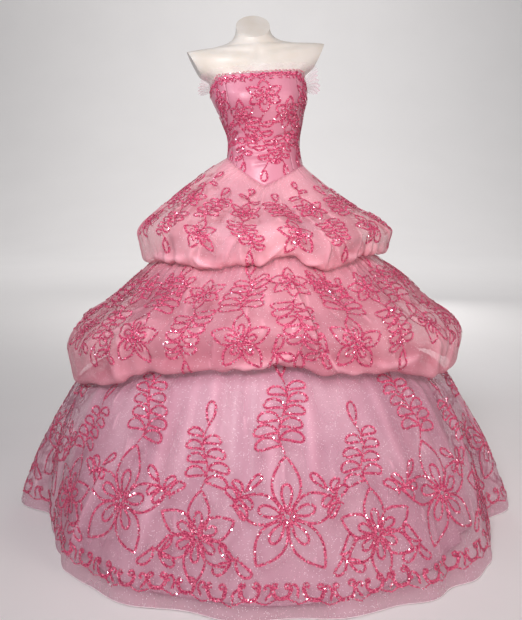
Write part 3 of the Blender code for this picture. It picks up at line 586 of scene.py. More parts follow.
def satin(name, deep, light, sheen):
    """Woven satin: a soft gloss, a fine twill line and slow changes of tone along the cloth."""
    made, nodes, links, shader = new_material(name, light, 0.34)
    shader.inputs["Sheen Weight"].default_value = sheen
    shader.inputs["Sheen Roughness"].default_value = 0.35
    shader.inputs["Sheen Tint"].default_value = (1.0, 0.70, 0.80, 1.0)
    slow = noise(nodes, links, 9.0, 4.0, stretch=(1.0, 1.0, 0.45))
    toned(nodes, links, shader, slow.outputs["Fac"], [(0.28, deep), (0.72, light)])
    thread = noise(nodes, links, 900.0, 2.0, stretch=(1.0, 1.0, 0.25))
    toned(nodes, links, shader, thread.outputs["Fac"], [(0.3, (0.35,)), (0.75, (0.50,))], "Roughness")
    bump(nodes, links, shader, thread.outputs["Fac"], 0.00025, 0.45)
    return made


bodice_satin = satin("bodice_satin", (0.45, 0.145, 0.215), (0.61, 0.250, 0.328), 0.16)
gap = math.degrees(0.5 * SEAM_GAP / 0.10)
back_edge = 180.0 - zip_half_angle
PANELS = [
    dict(node="bodice_front", start=-PRINCESS_ANGLE + gap, stop=PRINCESS_ANGLE - gap, columns=54,
         flat=(0.235, 0.335), area=0.055),
    dict(node="bodice_side_front_left", start=-SIDE_ANGLE + gap, stop=-PRINCESS_ANGLE - gap, columns=30,
         flat=(0.105, 0.265), area=0.0215),
    dict(node="bodice_side_front_right", start=PRINCESS_ANGLE + gap, stop=SIDE_ANGLE - gap, columns=30,
         flat=(0.110, 0.290), area=0.0235),
    dict(node="bodice_back_left", start=-back_edge, stop=-SIDE_ANGLE - gap, columns=54,
         flat=(0.190, 0.230), area=0.0290),
    dict(node="bodice_back_right", start=SIDE_ANGLE + gap, stop=back_edge, columns=54,
         flat=(0.190, 0.240), area=0.0300),
]
SATIN_WALL, TURNED_EDGE = 0.0016, 0.0006
for row in PANELS:
    made = panel(row["node"] + "_satin", bodice, row["start"], row["stop"], row["columns"], bodice_satin,
                 wall=SATIN_WALL, turned_in=TURNED_EDGE)
    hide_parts(row["node"])
    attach(made, GOWN)

# Cord piping, a bias strip of the bodice's own satin round a thin cotton cord. It is sewn into
# the waist seam and follows its V in front.


def tube(name, line, radius, sides, finish, closed=False):
    """A round cord along a line of points, its ends joined where it is closed."""
    ahead = np.roll(line, -1, axis=0) - np.roll(line, 1, axis=0) if closed else np.gradient(line, axis=0)
    ahead /= np.linalg.norm(ahead, axis=1, keepdims=True)
    aside = np.cross(ahead, [0.0, 0.0, 1.0])
    aside /= np.linalg.norm(aside, axis=1, keepdims=True)
    above = np.cross(aside, ahead)
    turns = np.arange(sides) * 2 * math.pi / sides
    points = line[:, None] + radius * (aside[:, None] * np.cos(turns)[None, :, None]
                                       + above[:, None] * np.sin(turns)[None, :, None])
    count = len(line)
    faces = []
    for row in range(count if closed else count - 1):
        low, high = sides * row, sides * ((row + 1) % count)
        faces += [(low + side, high + side, high + (side + 1) % sides, low + (side + 1) % sides)
                  for side in range(sides)]
    if not closed:
        faces += [tuple(range(sides)), tuple(range(sides * count - 1, sides * (count - 1) - 1, -1))]
    return new_piece(name, points.reshape(-1, 3), faces, finish)


PIPING_RADIUS = 0.0014
angles = np.linspace(-back_edge, back_edge, 361)
seam_line = form_point(angles, waist_seam(angles) + 0.0006, FORM_CLEARANCE + BODICE_WALL + 0.0008)
piping = tube("waist_piping", seam_line, PIPING_RADIUS, 6, bodice_satin)
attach(piping, GOWN)

# The embroidery, outlines of flowers, leaves and garlands in small cup sequins, with crystals sewn
# into the flowers' hearts. Its strokes are laid out flat, in metres, and then carried to the cloth.


def teardrop(length, width, bend=0.0):
    """A closed loop, pointed at its stem and round at its far end; bend curls it to one side."""
    turn = np.linspace(0.0, 2 * np.pi, 41)
    x = 0.5 * width / 0.77 * np.sin(turn) * np.sin(0.5 * turn)
    y = 0.5 * length * (1.0 - np.cos(turn))
    curl = bend * y / length
    return np.stack([x * np.cos(curl) + y * np.sin(curl), y * np.cos(curl) - x * np.sin(curl)], axis=1)


def petal(length, width):
    """A petal's outline: narrow at its foot, widest past its middle, pointed at its tip."""
    part = np.linspace(0.0, 1.0, 26)
    half = 0.5 * width * np.sin(np.pi * part ** 0.92) ** 0.85
    side = np.stack([half, length * part], axis=1)
    return np.concatenate([side, (side * [-1.0, 1.0])[::-1]])


def spun(points, turn, x=0.0, y=0.0):
    """Points turned clockwise by an angle and then moved."""
    turn = math.radians(turn)
    return np.stack([points[:, 0] * math.cos(turn) + points[:, 1] * math.sin(turn) + x,
                     points[:, 1] * math.cos(turn) - points[:, 0] * math.sin(turn) + y], axis=1)


def curve_through(points, fine=10):
    """A smooth line through points, with more points between them."""
    points = np.array(points, float)
    at = np.arange(len(points))
    slopes = np.gradient(points, axis=0)
    made = []
    for low in at[:-1]:
        for part in np.linspace(0.0, 1.0, fine, endpoint=False):
            made.append(bent(part, points[low], points[low + 1], slopes[low], slopes[low + 1]))
    made.append(points[-1])
    return np.array(made)


SMALL_FLOWER = 0.060


def flower(size, turns, width=0.52, loop=0.44, rows=2):
    """Strokes of one flower: pointed petals towards its turns, a loop inside each, and a ring."""
    strokes = []
    for index, way in enumerate(turns):
        reach = size * (1.0 + 0.06 * math.sin(2.4 * index + 1.0))
        outline = petal(0.92 * reach, width * size) + [0.0, 0.08 * size]
        strokes.append((spun(outline, way), rows))
        inner = teardrop(loop * reach, 0.19 * size) + [0.0, 0.10 * size]
        strokes.append((spun(inner, way), rows if size > SMALL_FLOWER else 1))
    heart = np.linspace(0.0, 2 * np.pi, 15)
    strokes.append((0.06 * size * np.stack([np.sin(heart), np.cos(heart)], axis=1), 1))
    return strokes


def laid_on(cloth, angle, level, strokes, turn=0.0, flip=1, from_hem=False):
    """Strokes in flat metres, laid on the cloth round a place: level is down, or up from the hem."""
    made = []
    for points, rows in strokes:
        flat = spun(points * [flip, 1.0], turn)
        length = cloth.length_at(angle)
        down = (length - level if from_hem else level) - flat[:, 1]
        place, _, _ = cloth.find(np.full(len(flat), float(angle)), np.clip(down, 0.0, length))
        radius = np.hypot(place[:, 0], place[:, 1])
        angles = angle + np.degrees(flat[:, 0] / np.maximum(radius, 0.03))
        if from_hem:
            down = np.interp(wrapped(angles), cloth.angles, cloth.length) - level - flat[:, 1]
        made.append((angles, down, rows))
    return made


def sprig(start, height, pairs, leaf, rows=2):
    """A stem that sways once, with leaves on both sides in turn and one at its tip."""
    part = np.linspace(0.0, 1.0, 24)
    sway = 0.07 * height * np.sin(2.0 * np.pi * part)
    made = [(np.stack([sway, start + height * part], axis=1), 1)]
    for index in range(2 * pairs):
        side = 1 if index % 2 == 0 else -1
        at = 0.10 + 0.80 * index / (2 * pairs)
        length = leaf * (1.0 - 0.30 * at)
        loop = teardrop(length, 0.46 * length, 0.5 * side)
        x = float(np.interp(at, part, sway))
        made.append((spun(loop, side * (64.0 - 24.0 * at), x, start + height * at), rows))
    made.append((spun(teardrop(leaf, 0.40 * leaf), 0.0, 0.0, start + height), rows))
    return made


def posy(cloth, angle, level, size, petals, sprigs, flip=1, rows=2, from_hem=False):
    """One flower with equal petals, and its sprigs, each by (way, height, pairs, leaf)."""
    turns = 360.0 / petals * np.arange(petals)
    made = laid_on(cloth, angle, level, flower(size, turns, rows=rows), 0.0, flip, from_hem)
    for way, height, pairs, leaf in sprigs:
        strokes = sprig(1.1 * size, height, pairs, leaf, rows)
        made += laid_on(cloth, angle, level, strokes, flip * way, flip, from_hem)
    return made


def small_mesh(name, points, faces_each, finishes, chosen, per_piece):
    """One mesh of many equal small pieces: points is (pieces, corners, 3)."""
    pieces, corners = points.shape[:2]
    mesh = bpy.data.meshes.new(name)
    faces = np.array(faces_each, int)
    index = (faces[None] + (np.arange(pieces) * corners)[:, None, None]).reshape(-1, faces.shape[1])
    mesh.from_pydata(points.reshape(-1, 3), [], index.tolist())
    for finish in finishes:
        mesh.materials.append(finish)
    mesh.polygons.foreach_set("material_index", np.repeat(chosen, per_piece).astype(np.int32))
    mesh.update()
    made = bpy.data.objects.new(name, mesh)
    bpy.context.scene.collection.objects.link(made)
    return made


def across_and_along(normal, seed_turn):
    """Two directions in the cloth, turned by an angle, for each outward direction."""
    helper = np.where(np.abs(normal[:, 2:3]) < 0.9, [[0.0, 0.0, 1.0]], [[1.0, 0.0, 0.0]])
    one = np.cross(normal, helper)
    one /= np.linalg.norm(one, axis=1, keepdims=True)
    two = np.cross(normal, one)
    cosine, sine = np.cos(seed_turn)[:, None], np.sin(seed_turn)[:, None]
    return one * cosine + two * sine, two * cosine - one * sine


def sequins(name, place, normal, radius, rise, seed, glints=0.07):
    """Small tilted cups, bent along one line, sewn close on the cloth; some take a pale glint colour, a
    painted highlight.
    """
    draw = np.random.default_rng(seed)
    count = len(place)
    tilt = draw.normal(0.0, 0.22, (count, 3))
    facing = normal + tilt - normal * (tilt * normal).sum(axis=1, keepdims=True)
    facing /= np.linalg.norm(facing, axis=1, keepdims=True)
    one, two = across_and_along(facing, draw.uniform(0.0, 2 * np.pi, count))
    size = (radius * draw.uniform(0.85, 1.12, count))[:, None]
    base = place + normal * (0.3 * radius)
    points = np.stack([base + one * size, base + two * size + facing * rise, base - one * size,
                       base - two * size + facing * rise], axis=1)
    chosen = (draw.uniform(0.0, 1.0, count) < glints).astype(int)
    made = small_mesh(name, points, [(0, 1, 2), (0, 2, 3)], [sequin_pink, sequin_glint], chosen, 2)
    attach(made, GOWN)
    return made


def sewn_along(cloth, strokes, radius, spacing, spread):
    """Places and outward directions of the sequins along strokes, in one to three rows."""
    places, normals, turns = [], [], []
    for angles, down, rows in strokes:
        angles = np.unwrap(np.radians(angles)) * 180.0 / np.pi
        line, _, _ = cloth.find(angles, down)
        run = np.concatenate([[0.0], np.cumsum(np.linalg.norm(np.diff(line, axis=0), axis=1))])
        if run[-1] < spacing:
            continue
        for row in range(rows):
            at = np.arange(0.5 * spacing * row, run[-1], spacing)
            here, facing, part = cloth.find(np.interp(at, run, angles), np.interp(at, run, down))
            ahead = np.gradient(here, axis=0) if len(here) > 1 else np.zeros_like(here)
            aside = np.cross(facing, ahead)
            aside /= np.maximum(np.linalg.norm(aside, axis=1, keepdims=True), 1e-9)
            if rows == 1:
                sway = (-1.0) ** np.arange(len(at)) * 0.45
            else:
                sway = np.full(len(at), 2.0 * row - rows + 1.0)
            here = here + aside * spread * sway[:, None] + facing * 0.0004
            good = (part > 0.004) & (part < 0.996)
            places.append(here[good])
            normals.append(facing[good])
            turns.append(wrapped(np.interp(at, run, angles))[good])
    return np.concatenate(places), np.concatenate(normals), np.concatenate(turns)


def embroidered(layer, cloth, strokes, radius, spacing, spread, seed):
    """The sequins of one layer, joined into one piece for its front and one for its back."""
    place, normal, angle = sewn_along(cloth, strokes, radius, spacing, spread)
    for half, inside in (("front", np.abs(angle) <= SIDE_ANGLE), ("back", np.abs(angle) > SIDE_ANGLE)):
        made = sequins(f"{layer}_{half}_sequins", place[inside], normal[inside], radius, 0.45 * radius, seed)


def studs(size, spread):
    """Places of one flower's crystals: its heart and a ring of six round it."""
    turn = np.pi / 3 * np.arange(6)
    ring = spread * size * np.stack([np.sin(turn), np.cos(turn)], axis=1)
    return [(np.concatenate([[[0.0, 0.0]], ring]), 1)]


def crystals(name, cloth, spots, radius, seed):
    """Cut crystals with a foil back: a six-sided table on sloping facets."""
    draw = np.random.default_rng(seed)
    place, normal, _ = cloth.find(np.concatenate([spot[0] for spot in spots]),
                                  np.concatenate([spot[1] for spot in spots]))
    one, two = across_and_along(normal, draw.uniform(0, np.pi, len(place)))
    size = radius * draw.uniform(0.7, 1.1, len(place))[:, None]
    points = []
    for share, rise in ((1.0, 0.0), (0.58, 0.55)):
        for side in range(6):
            turn = side * math.pi / 3
            points.append(place + (one * math.cos(turn) + two * math.sin(turn)) * size * share
                          + normal * (0.0006 + rise * size))
    faces = [(side, (side + 1) % 6, 6 + (side + 1) % 6, 6 + side) for side in range(6)]
    faces += [(6, 7, 8, 9), (6, 9, 10, 11)]
    made = small_mesh(name, np.stack(points, axis=1), faces, [crystal], np.zeros(len(place), int), 8)
    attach(made, GOWN)


sequin_pink, nodes, links, shader = new_material("sequin_pink", (0.58, 0.07, 0.165), 0.30, 0.15)
shader.inputs["Specular IOR Level"].default_value = 0.35
varied = noise(nodes, links, 260.0, 1.0)
toned(nodes, links, shader, varied.outputs["Fac"],
      [(0.35, (0.42, 0.034, 0.105)), (0.52, (0.58, 0.070, 0.165)), (0.68, (0.76, 0.18, 0.29))])
toned(nodes, links, shader, varied.outputs["Fac"], [(0.35, (0.24,)), (0.7, (0.42,))], "Roughness")
# A share of the sequins take this pale colour as a painted glint, over their metallic gloss.
sequin_glint, nodes, links, shader = new_material("sequin_glint", (0.95, 0.55, 0.66), 0.16, 0.6)
varied = noise(nodes, links, 260.0, 1.0)
toned(nodes, links, shader, varied.outputs["Fac"],
      [(0.4, (0.85, 0.34, 0.48)), (0.6, (0.98, 0.78, 0.84))])
crystal, nodes, links, shader = new_material("cut_crystal", (0.95, 0.95, 0.97), 0.05, 0.85)
varied = noise(nodes, links, 320.0, 1.0)
toned(nodes, links, shader, varied.outputs["Fac"],
      [(0.4, (0.80, 0.78, 0.82)), (0.6, (1.0, 0.98, 0.98))])

BODICE_STEP, BODICE_FLOWER, BODICE_LEAF = 30.0, 0.044, 0.034
BODICE_LEVELS = (0.072, 0.128)            # metres below the upper edge, high and low in turn
BODICE_HANG, LEAF_PAIR_ROOM = 0.80, 0.050
strokes, hearts = [], []
for index in range(-5, 6):
    angle, down = BODICE_STEP * index, BODICE_LEVELS[index % 2]
    hang = BODICE_HANG * (bodice.length_at(angle) - down) - BODICE_FLOWER
    pairs = 2 + int(hang / LEAF_PAIR_ROOM)
    strokes += posy(bodice, angle, down, BODICE_FLOWER, 6, [(180, hang, pairs, BODICE_LEAF)],
                    flip=1 if index % 2 == 0 else -1)
    hearts += laid_on(bodice, angle, down, studs(BODICE_FLOWER, 0.20))
swag = np.linspace(0.0, 1.0, 14)
for start in range(-84, 85, 10):          # scalloped garlands below the upper edge
    sag = 0.009 + 0.006 * math.sin(start * 0.7)
    strokes.append((start - 6.0 + 12.0 * swag, 0.0035 + sag * np.sin(np.pi * swag), 2))
    strokes.append((start - 2.0 + 9.0 * swag, 0.011 + 1.1 * sag * np.sin(np.pi * swag) ** 0.7, 1))
    strokes.append((start + 1.0 + 5.0 * swag, 0.022 + 0.5 * sag * np.cos(6.0 * swag + start), 1))
for start in range(-172, -88, 12):
    for side in (-1, 1):
        strokes.append((side * (start + 12.0 * swag), 0.004 + 0.014 * np.sin(np.pi * swag), 1))
embroidered("bodice", bodice, strokes, 0.0023, 0.0031, 0.0016, 11)
crystals("bodice_crystals", bodice, hearts, 0.0021, 12)

# Beaded picots, small loops of the same sequins that stand on the upper edge. One here and there
# is taller, and each is sewn down at both its feet.
places, facings = [], []
draw = np.random.default_rng(13)
angle = -86.0
while angle < 86.0:
    wide = draw.uniform(3.4, 4.8)
    tall = 0.0052 if draw.uniform() < 0.25 else draw.uniform(0.0022, 0.0036)
    loop = np.linspace(0.06, 0.94, 6)
    angles = angle + wide * loop
    foot = neckline(angles) + 0.0008
    height = foot + tall * np.sin(np.pi * loop) ** 0.8
    here = form_point(angles, height, FORM_CLEARANCE + BODICE_WALL - 0.0004)
    straight_out = form_point(angles, foot, 0.02) - form_point(angles, foot, 0.0)
    places.append(here)
    facings.append(straight_out / np.linalg.norm(straight_out, axis=1, keepdims=True))
    angle += wide * draw.uniform(0.86, 1.1)
picots = sequins("neckline_picots", np.concatenate(places), np.concatenate(facings), 0.0013, 0.0006, 14)

# The neckline ruffle, one gathered strip of sheer tulle sewn inside the upper edge. It stands
# flat against the chest in front and fans out in pleats under the arms.
RUFFLE_WAVES, RUFFLE_HEIGHT, TULLE_WALL = 26, 0.020, 0.0010
tulle, nodes, links, shader = new_material("ruffle_tulle", (0.92, 0.74, 0.80), 0.6)
shader.inputs["Sheen Weight"].default_value = 0.2
net = noise(nodes, links, 520.0, 2.0, stretch=(1.0, 1.0, 0.35))
open_net = ramp(nodes, links, net.outputs["Fac"], [(0.35, (0.55,)), (0.7, (1.0,))])
gathered = nodes.new("ShaderNodeAttribute")
gathered.attribute_name = "gathered"
veil = nodes.new("ShaderNodeMath")
veil.operation = "MULTIPLY"
links.new(open_net.outputs["Color"], veil.inputs[0])
links.new(gathered.outputs["Fac"], veil.inputs[1])
links.new(veil.outputs["Value"], shader.inputs["Alpha"])
toned(nodes, links, shader, net.outputs["Fac"], [(0.3, (0.77, 0.48, 0.57)), (0.7, (0.90, 0.68, 0.75))])
angles = np.linspace(-(180.0 - zip_half_angle), 180.0 - zip_half_angle, 1101)
side = np.exp(-((np.abs(angles) - 87.0) / 22.0) ** 2)
wave = np.sin(np.radians(RUFFLE_WAVES * angles + 70.0 * np.sin(np.radians(3 * angles))))
fine = np.sin(np.radians(3.3 * RUFFLE_WAVES * angles + 110.0 * np.sin(np.radians(5 * angles))))
climb = np.radians(np.clip(52.0 - 2.6 * (np.abs(angles) - 62.0), -58.0, 80.0))
reach = RUFFLE_HEIGHT * (1.0 + (0.85 + 0.15 * np.sign(angles)) * side + 0.05 * fine)
rows = []
for part in np.linspace(0.0, 1.0, 9):
    rise = (1.0 - side) + side * np.sin(climb) + 0.25 * side * math.sin(math.pi * part)
    lean = (0.22 * part + 0.11 * (1.0 + wave)) * (1.0 - side) + side * np.cos(climb)
    sway = (0.0005 + 0.0016 * side) * part * (1.0 + fine)
    rows.append(form_point(angles, neckline(angles) + 6 * SEAM_GAP + reach * part * rise,
                           FORM_CLEARANCE + TULLE_WALL + reach * part * lean + sway))
rows = np.array(rows)
width = rows.shape[1]
faces = []
for row in range(len(rows) - 1):
    for left in range(row * width, row * width + width - 1):
        faces.append((left, left + 1, left + width + 1, left + width))
ruffle = new_piece("neckline_ruffle_tulle", rows.reshape(-1, 3), faces, tulle)
thick = ruffle.data.attributes.new("gathered", "FLOAT", "POINT")
crests = np.clip(0.10 + 0.28 * side + 0.06 * wave + 0.52 * side * np.maximum(fine, 0.0) ** 3, 0.04, 0.90)
thick.data.foreach_set("value", np.tile(crests, len(rows)).astype(np.float32))
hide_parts("neckline_ruffle")
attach(ruffle, GOWN)

# The back zip, moulded nylon teeth on a woven tape sewn to the edges of the back panels. Its slider
# and pull are die-cast metal, plated.
ZIP_TOP, ZIP_FOOT, TOOTH_PITCH = NECKLINE_BACK - 0.002, WAIST_BACK + 3 * SEAM_GAP, 0.0014


def zip_frame(height):
    """A point on the zip's middle line, and its directions across, down and outward."""
    here = form_point(180.0, height, FORM_CLEARANCE)
    down = form_point(180.0, height - 0.004, FORM_CLEARANCE) - here
    down /= np.linalg.norm(down)
    turn = math.radians(CHEST_TURN) * float(eased((height - 1.09) / 0.17))
    level = np.array([math.cos(turn), math.sin(turn), 0.0])
    level -= down * level.dot(down)
    level /= np.linalg.norm(level)
    return here, level, down, np.cross(level, down)


zip_nylon, nodes, links, shader = new_material("zip_nylon", (0.62, 0.20, 0.28), 0.35)
varied = noise(nodes, links, 800.0, 2.0)
toned(nodes, links, shader, varied.outputs["Fac"],
      [(0.3, (0.54, 0.15, 0.23)), (0.7, (0.68, 0.26, 0.34))])
bump(nodes, links, shader, varied.outputs["Fac"], 0.0001, 0.4)
points, faces = [], []
heights = np.linspace(ZIP_TOP, ZIP_FOOT, 60)
for height in heights:                       # the tape: a thin strip under the teeth
    here, level, down, out = zip_frame(height)
    points += [here - 0.0031 * level + 0.0002 * out, here - 0.0031 * level + 0.0008 * out,
               here + 0.0031 * level + 0.0008 * out, here + 0.0031 * level + 0.0002 * out]
for row in range(len(heights) - 1):
    for side in range(4):
        other = (side + 1) % 4
        faces.append((4 * row + side, 4 * row + other, 4 * row + 4 + other, 4 * row + 4 + side))
faces += [(0, 1, 2, 3), (len(points) - 1, len(points) - 2, len(points) - 3, len(points) - 4)]
for index, height in enumerate(np.arange(ZIP_FOOT + 0.001, ZIP_TOP, 0.5 * TOOTH_PITCH)):
    here, level, down, out = zip_frame(height)
    middle = here + (0.0009 if index % 2 else -0.0009) * level + 0.0009 * out
    first = len(points)
    for rise, shrink in ((0.0, 1.0), (0.0006, 1.0), (0.0009, 0.7)):
        for x, y in ((-1, -1), (1, -1), (1, 1), (-1, 1)):
            points.append(middle + level * x * 0.0012 * shrink + down * y * 0.00032 * shrink + out * rise)
    for low in (first, first + 4):
        for side in range(4):
            other = (side + 1) % 4
            faces.append((low + side, low + other, low + 4 + other, low + 4 + side))
    faces.append((first + 8, first + 9, first + 10, first + 11))
teeth = new_piece("zip_chain_teeth", points, faces, zip_nylon, smooth=False)
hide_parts("zip_chain")
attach(teeth, GOWN)
plated, nodes, links, shader = new_material("plated_zip_metal", (0.72, 0.70, 0.69), 0.28, 1.0)
scuffs = noise(nodes, links, 600.0, 4.0, stretch=(1.0, 1.0, 0.3))
toned(nodes, links, shader, scuffs.outputs["Fac"],
      [(0.3, (0.60, 0.57, 0.56)), (0.7, (0.80, 0.78, 0.77))])
toned(nodes, links, shader, scuffs.outputs["Fac"], [(0.3, (0.20,)), (0.75, (0.38,))], "Roughness")
bump(nodes, links, shader, scuffs.outputs["Fac"], 0.0001, 0.4)
for node in ("zip_slider", "zip_pull"):
    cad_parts[node].data.materials.clear()
    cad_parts[node].data.materials.append(plated)

# ------------------------------------------------------------------------------ the skirts
# The satin underskirt, two A-line halves of heavy satin hung from the waist seam. It shows through
# the organza and below its hem, and carries the tiers' sewn lower edges.
SEAT_GAP = 0.0012
UNDERSKIRT_WALL, ORGANZA_WALL = 0.0012, 0.0010
LINING_HEM_HEIGHT, HEM_HEIGHT = 0.014, 0.006
UNDERSKIRT_SECTIONS = [
    dict(height=0.850, radius=0.284),
    dict(height=0.745, radius=0.336),
    dict(height=0.640, radius=0.387),
    dict(height=0.520, radius=0.443),
    dict(height=0.400, radius=0.505),
    dict(height=0.260, radius=0.576),
    dict(height=0.120, radius=0.642),
    dict(height=LINING_HEM_HEIGHT, radius=0.693),
]
FLARE = [
    dict(down=0.00, out=0.00),
    dict(down=0.22, out=0.245),
    dict(down=0.50, out=0.548),
    dict(down=0.70, out=0.775),
    dict(down=0.85, out=0.945),
    dict(down=1.00, out=1.00),
]


def outward(angle):
    turn = np.radians(angle)
    return np.stack([np.sin(turn), -np.cos(turn), np.zeros_like(turn)], axis=-1)


def at_radius(angle, radius, height):
    angle, radius, height = np.broadcast_arrays(angle, radius, height)
    made = outward(angle) * radius[..., None]
    made[..., 2] = height
    return made


def around(table, column, angle):
    """Values of a column at angles, for a table that goes once round the skirt."""
    rows = [table[-1]] + table + [table[0]]
    places = np.array([row["angle"] for row in rows], float)
    places[0] -= 360.0
    places[-1] += 360.0
    values = np.array([row[column] for row in rows], float)
    angle = wrapped(np.asarray(angle, float))
    high = np.clip(np.searchsorted(places, angle), 1, len(places) - 1)
    part = (angle - places[high - 1]) / (places[high] - places[high - 1])
    return values[high - 1] + (values[high] - values[high - 1]) * (0.5 - 0.5 * np.cos(np.pi * part))


def underskirt_radius(height):
    heights = [row["height"] for row in UNDERSKIRT_SECTIONS][::-1]
    radii = [row["radius"] for row in UNDERSKIRT_SECTIONS][::-1]
    return np.interp(height, heights, radii)


def off_the_waist(angle, height, offset, foot_height, foot_radius):
    """A layer between the waist seam and its foot: the form's section opening into a circle."""
    seam = waist_seam(angle)
    down = (seam - height) / (seam - foot_height)
    waist = form_point(angle, seam, offset)[..., :2]
    radius = np.linalg.norm(waist, axis=-1)
    straight_out = waist / radius[..., None]
    radius = radius + (foot_radius - radius) * smooth_between(FLARE, "down", "out", down)
    leaving = eased(down / 0.35)[..., None]
    way = straight_out * (1.0 - leaving) + outward(angle)[..., :2] * leaving
    way = way / np.linalg.norm(way, axis=-1, keepdims=True)
    return np.concatenate([way * radius[..., None], height[..., None]], axis=-1)


def through(knots, fine=12):
    """A smooth sheet through rows of points, with more rows between them."""
    steps = np.sqrt(np.linalg.norm(np.diff(knots, axis=0), axis=2)).mean(axis=1)
    at = np.concatenate([[0.0], np.cumsum(steps)])
    slopes = np.gradient(knots, at, axis=0)
    made = []
    for low in range(len(at) - 1):
        span = at[low + 1] - at[low]
        for part in np.linspace(0.0, 1.0, fine, endpoint=False):
            made.append(bent(part, knots[low], knots[low + 1], span * slopes[low], span * slopes[low + 1]))
    made.append(knots[-1])
    return np.array(made)


UNDERSKIRT_FOLD, UNDERSKIRT_OVAL = 0.010, 0.048
UNDERSKIRT_OUT = FORM_CLEARANCE + UNDERSKIRT_WALL


def underskirt_rows(angles):
    rows = []
    hip = UNDERSKIRT_SECTIONS[0]
    for part in np.linspace(0.0, 1.0, 8, endpoint=False):
        seam = waist_seam(angles)
        height = seam + (hip["height"] - seam) * part
        rows.append(off_the_waist(angles, height, UNDERSKIRT_OUT, hip["height"], hip["radius"]))
    for height in np.linspace(hip["height"], LINING_HEM_HEIGHT, 60):
        lower = eased((0.45 - height) / 0.45)
        folds = 0.5 * UNDERSKIRT_FOLD * (np.sin(np.radians(11 * angles + 25)) - 1.0)
        oval = UNDERSKIRT_OVAL * (np.cos(np.radians(angles)) ** 2 - 0.75)
        rows.append(at_radius(angles, underskirt_radius(height) + lower * (folds + oval), height))
    return np.array(rows)


UNDERSKIRT_RIPPLES = [         # how many, depth, metres down, spread, shift
    (17, 0.0125, 0.95, 0.45, 1.0),
    (41, 0.0010, 0.00, 0.10, 0.4),
]
underskirt = Cloth(underskirt_rows, 60, ripples=UNDERSKIRT_RIPPLES)
underskirt_satin = satin("underskirt_satin", (0.58, 0.40, 0.48), (0.84, 0.67, 0.73), 0.18)
SIDE_GAP_RADIUS = dict(underskirt=0.11, tier1=0.11, tier2=0.34, tier3=0.45)


def skirt_halves(layer, cloth, columns, finish, slot, wall=0.0):
    """The front and back half of one layer, sewn together at the side seams."""
    gap = math.degrees(0.5 * SEAM_GAP / SIDE_GAP_RADIUS[layer])
    for half, start in (("front", -SIDE_ANGLE + gap), ("back", SIDE_ANGLE + gap)):
        piece = panel(f"{layer}_{half}_{slot}", cloth, start, start + 180.0 - 2 * gap, columns, finish, wall)
        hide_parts(f"{layer}_{half}")
        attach(piece, GOWN)


skirt_halves("underskirt", underskirt, 150, underskirt_satin, "underskirt_satin",
             wall=0.0011)

# The long organza skirt, two flared halves hung from under the middle tier. It stands off the
# satin, is wired into flutes at its rolled hem, and carries the largest flowers.


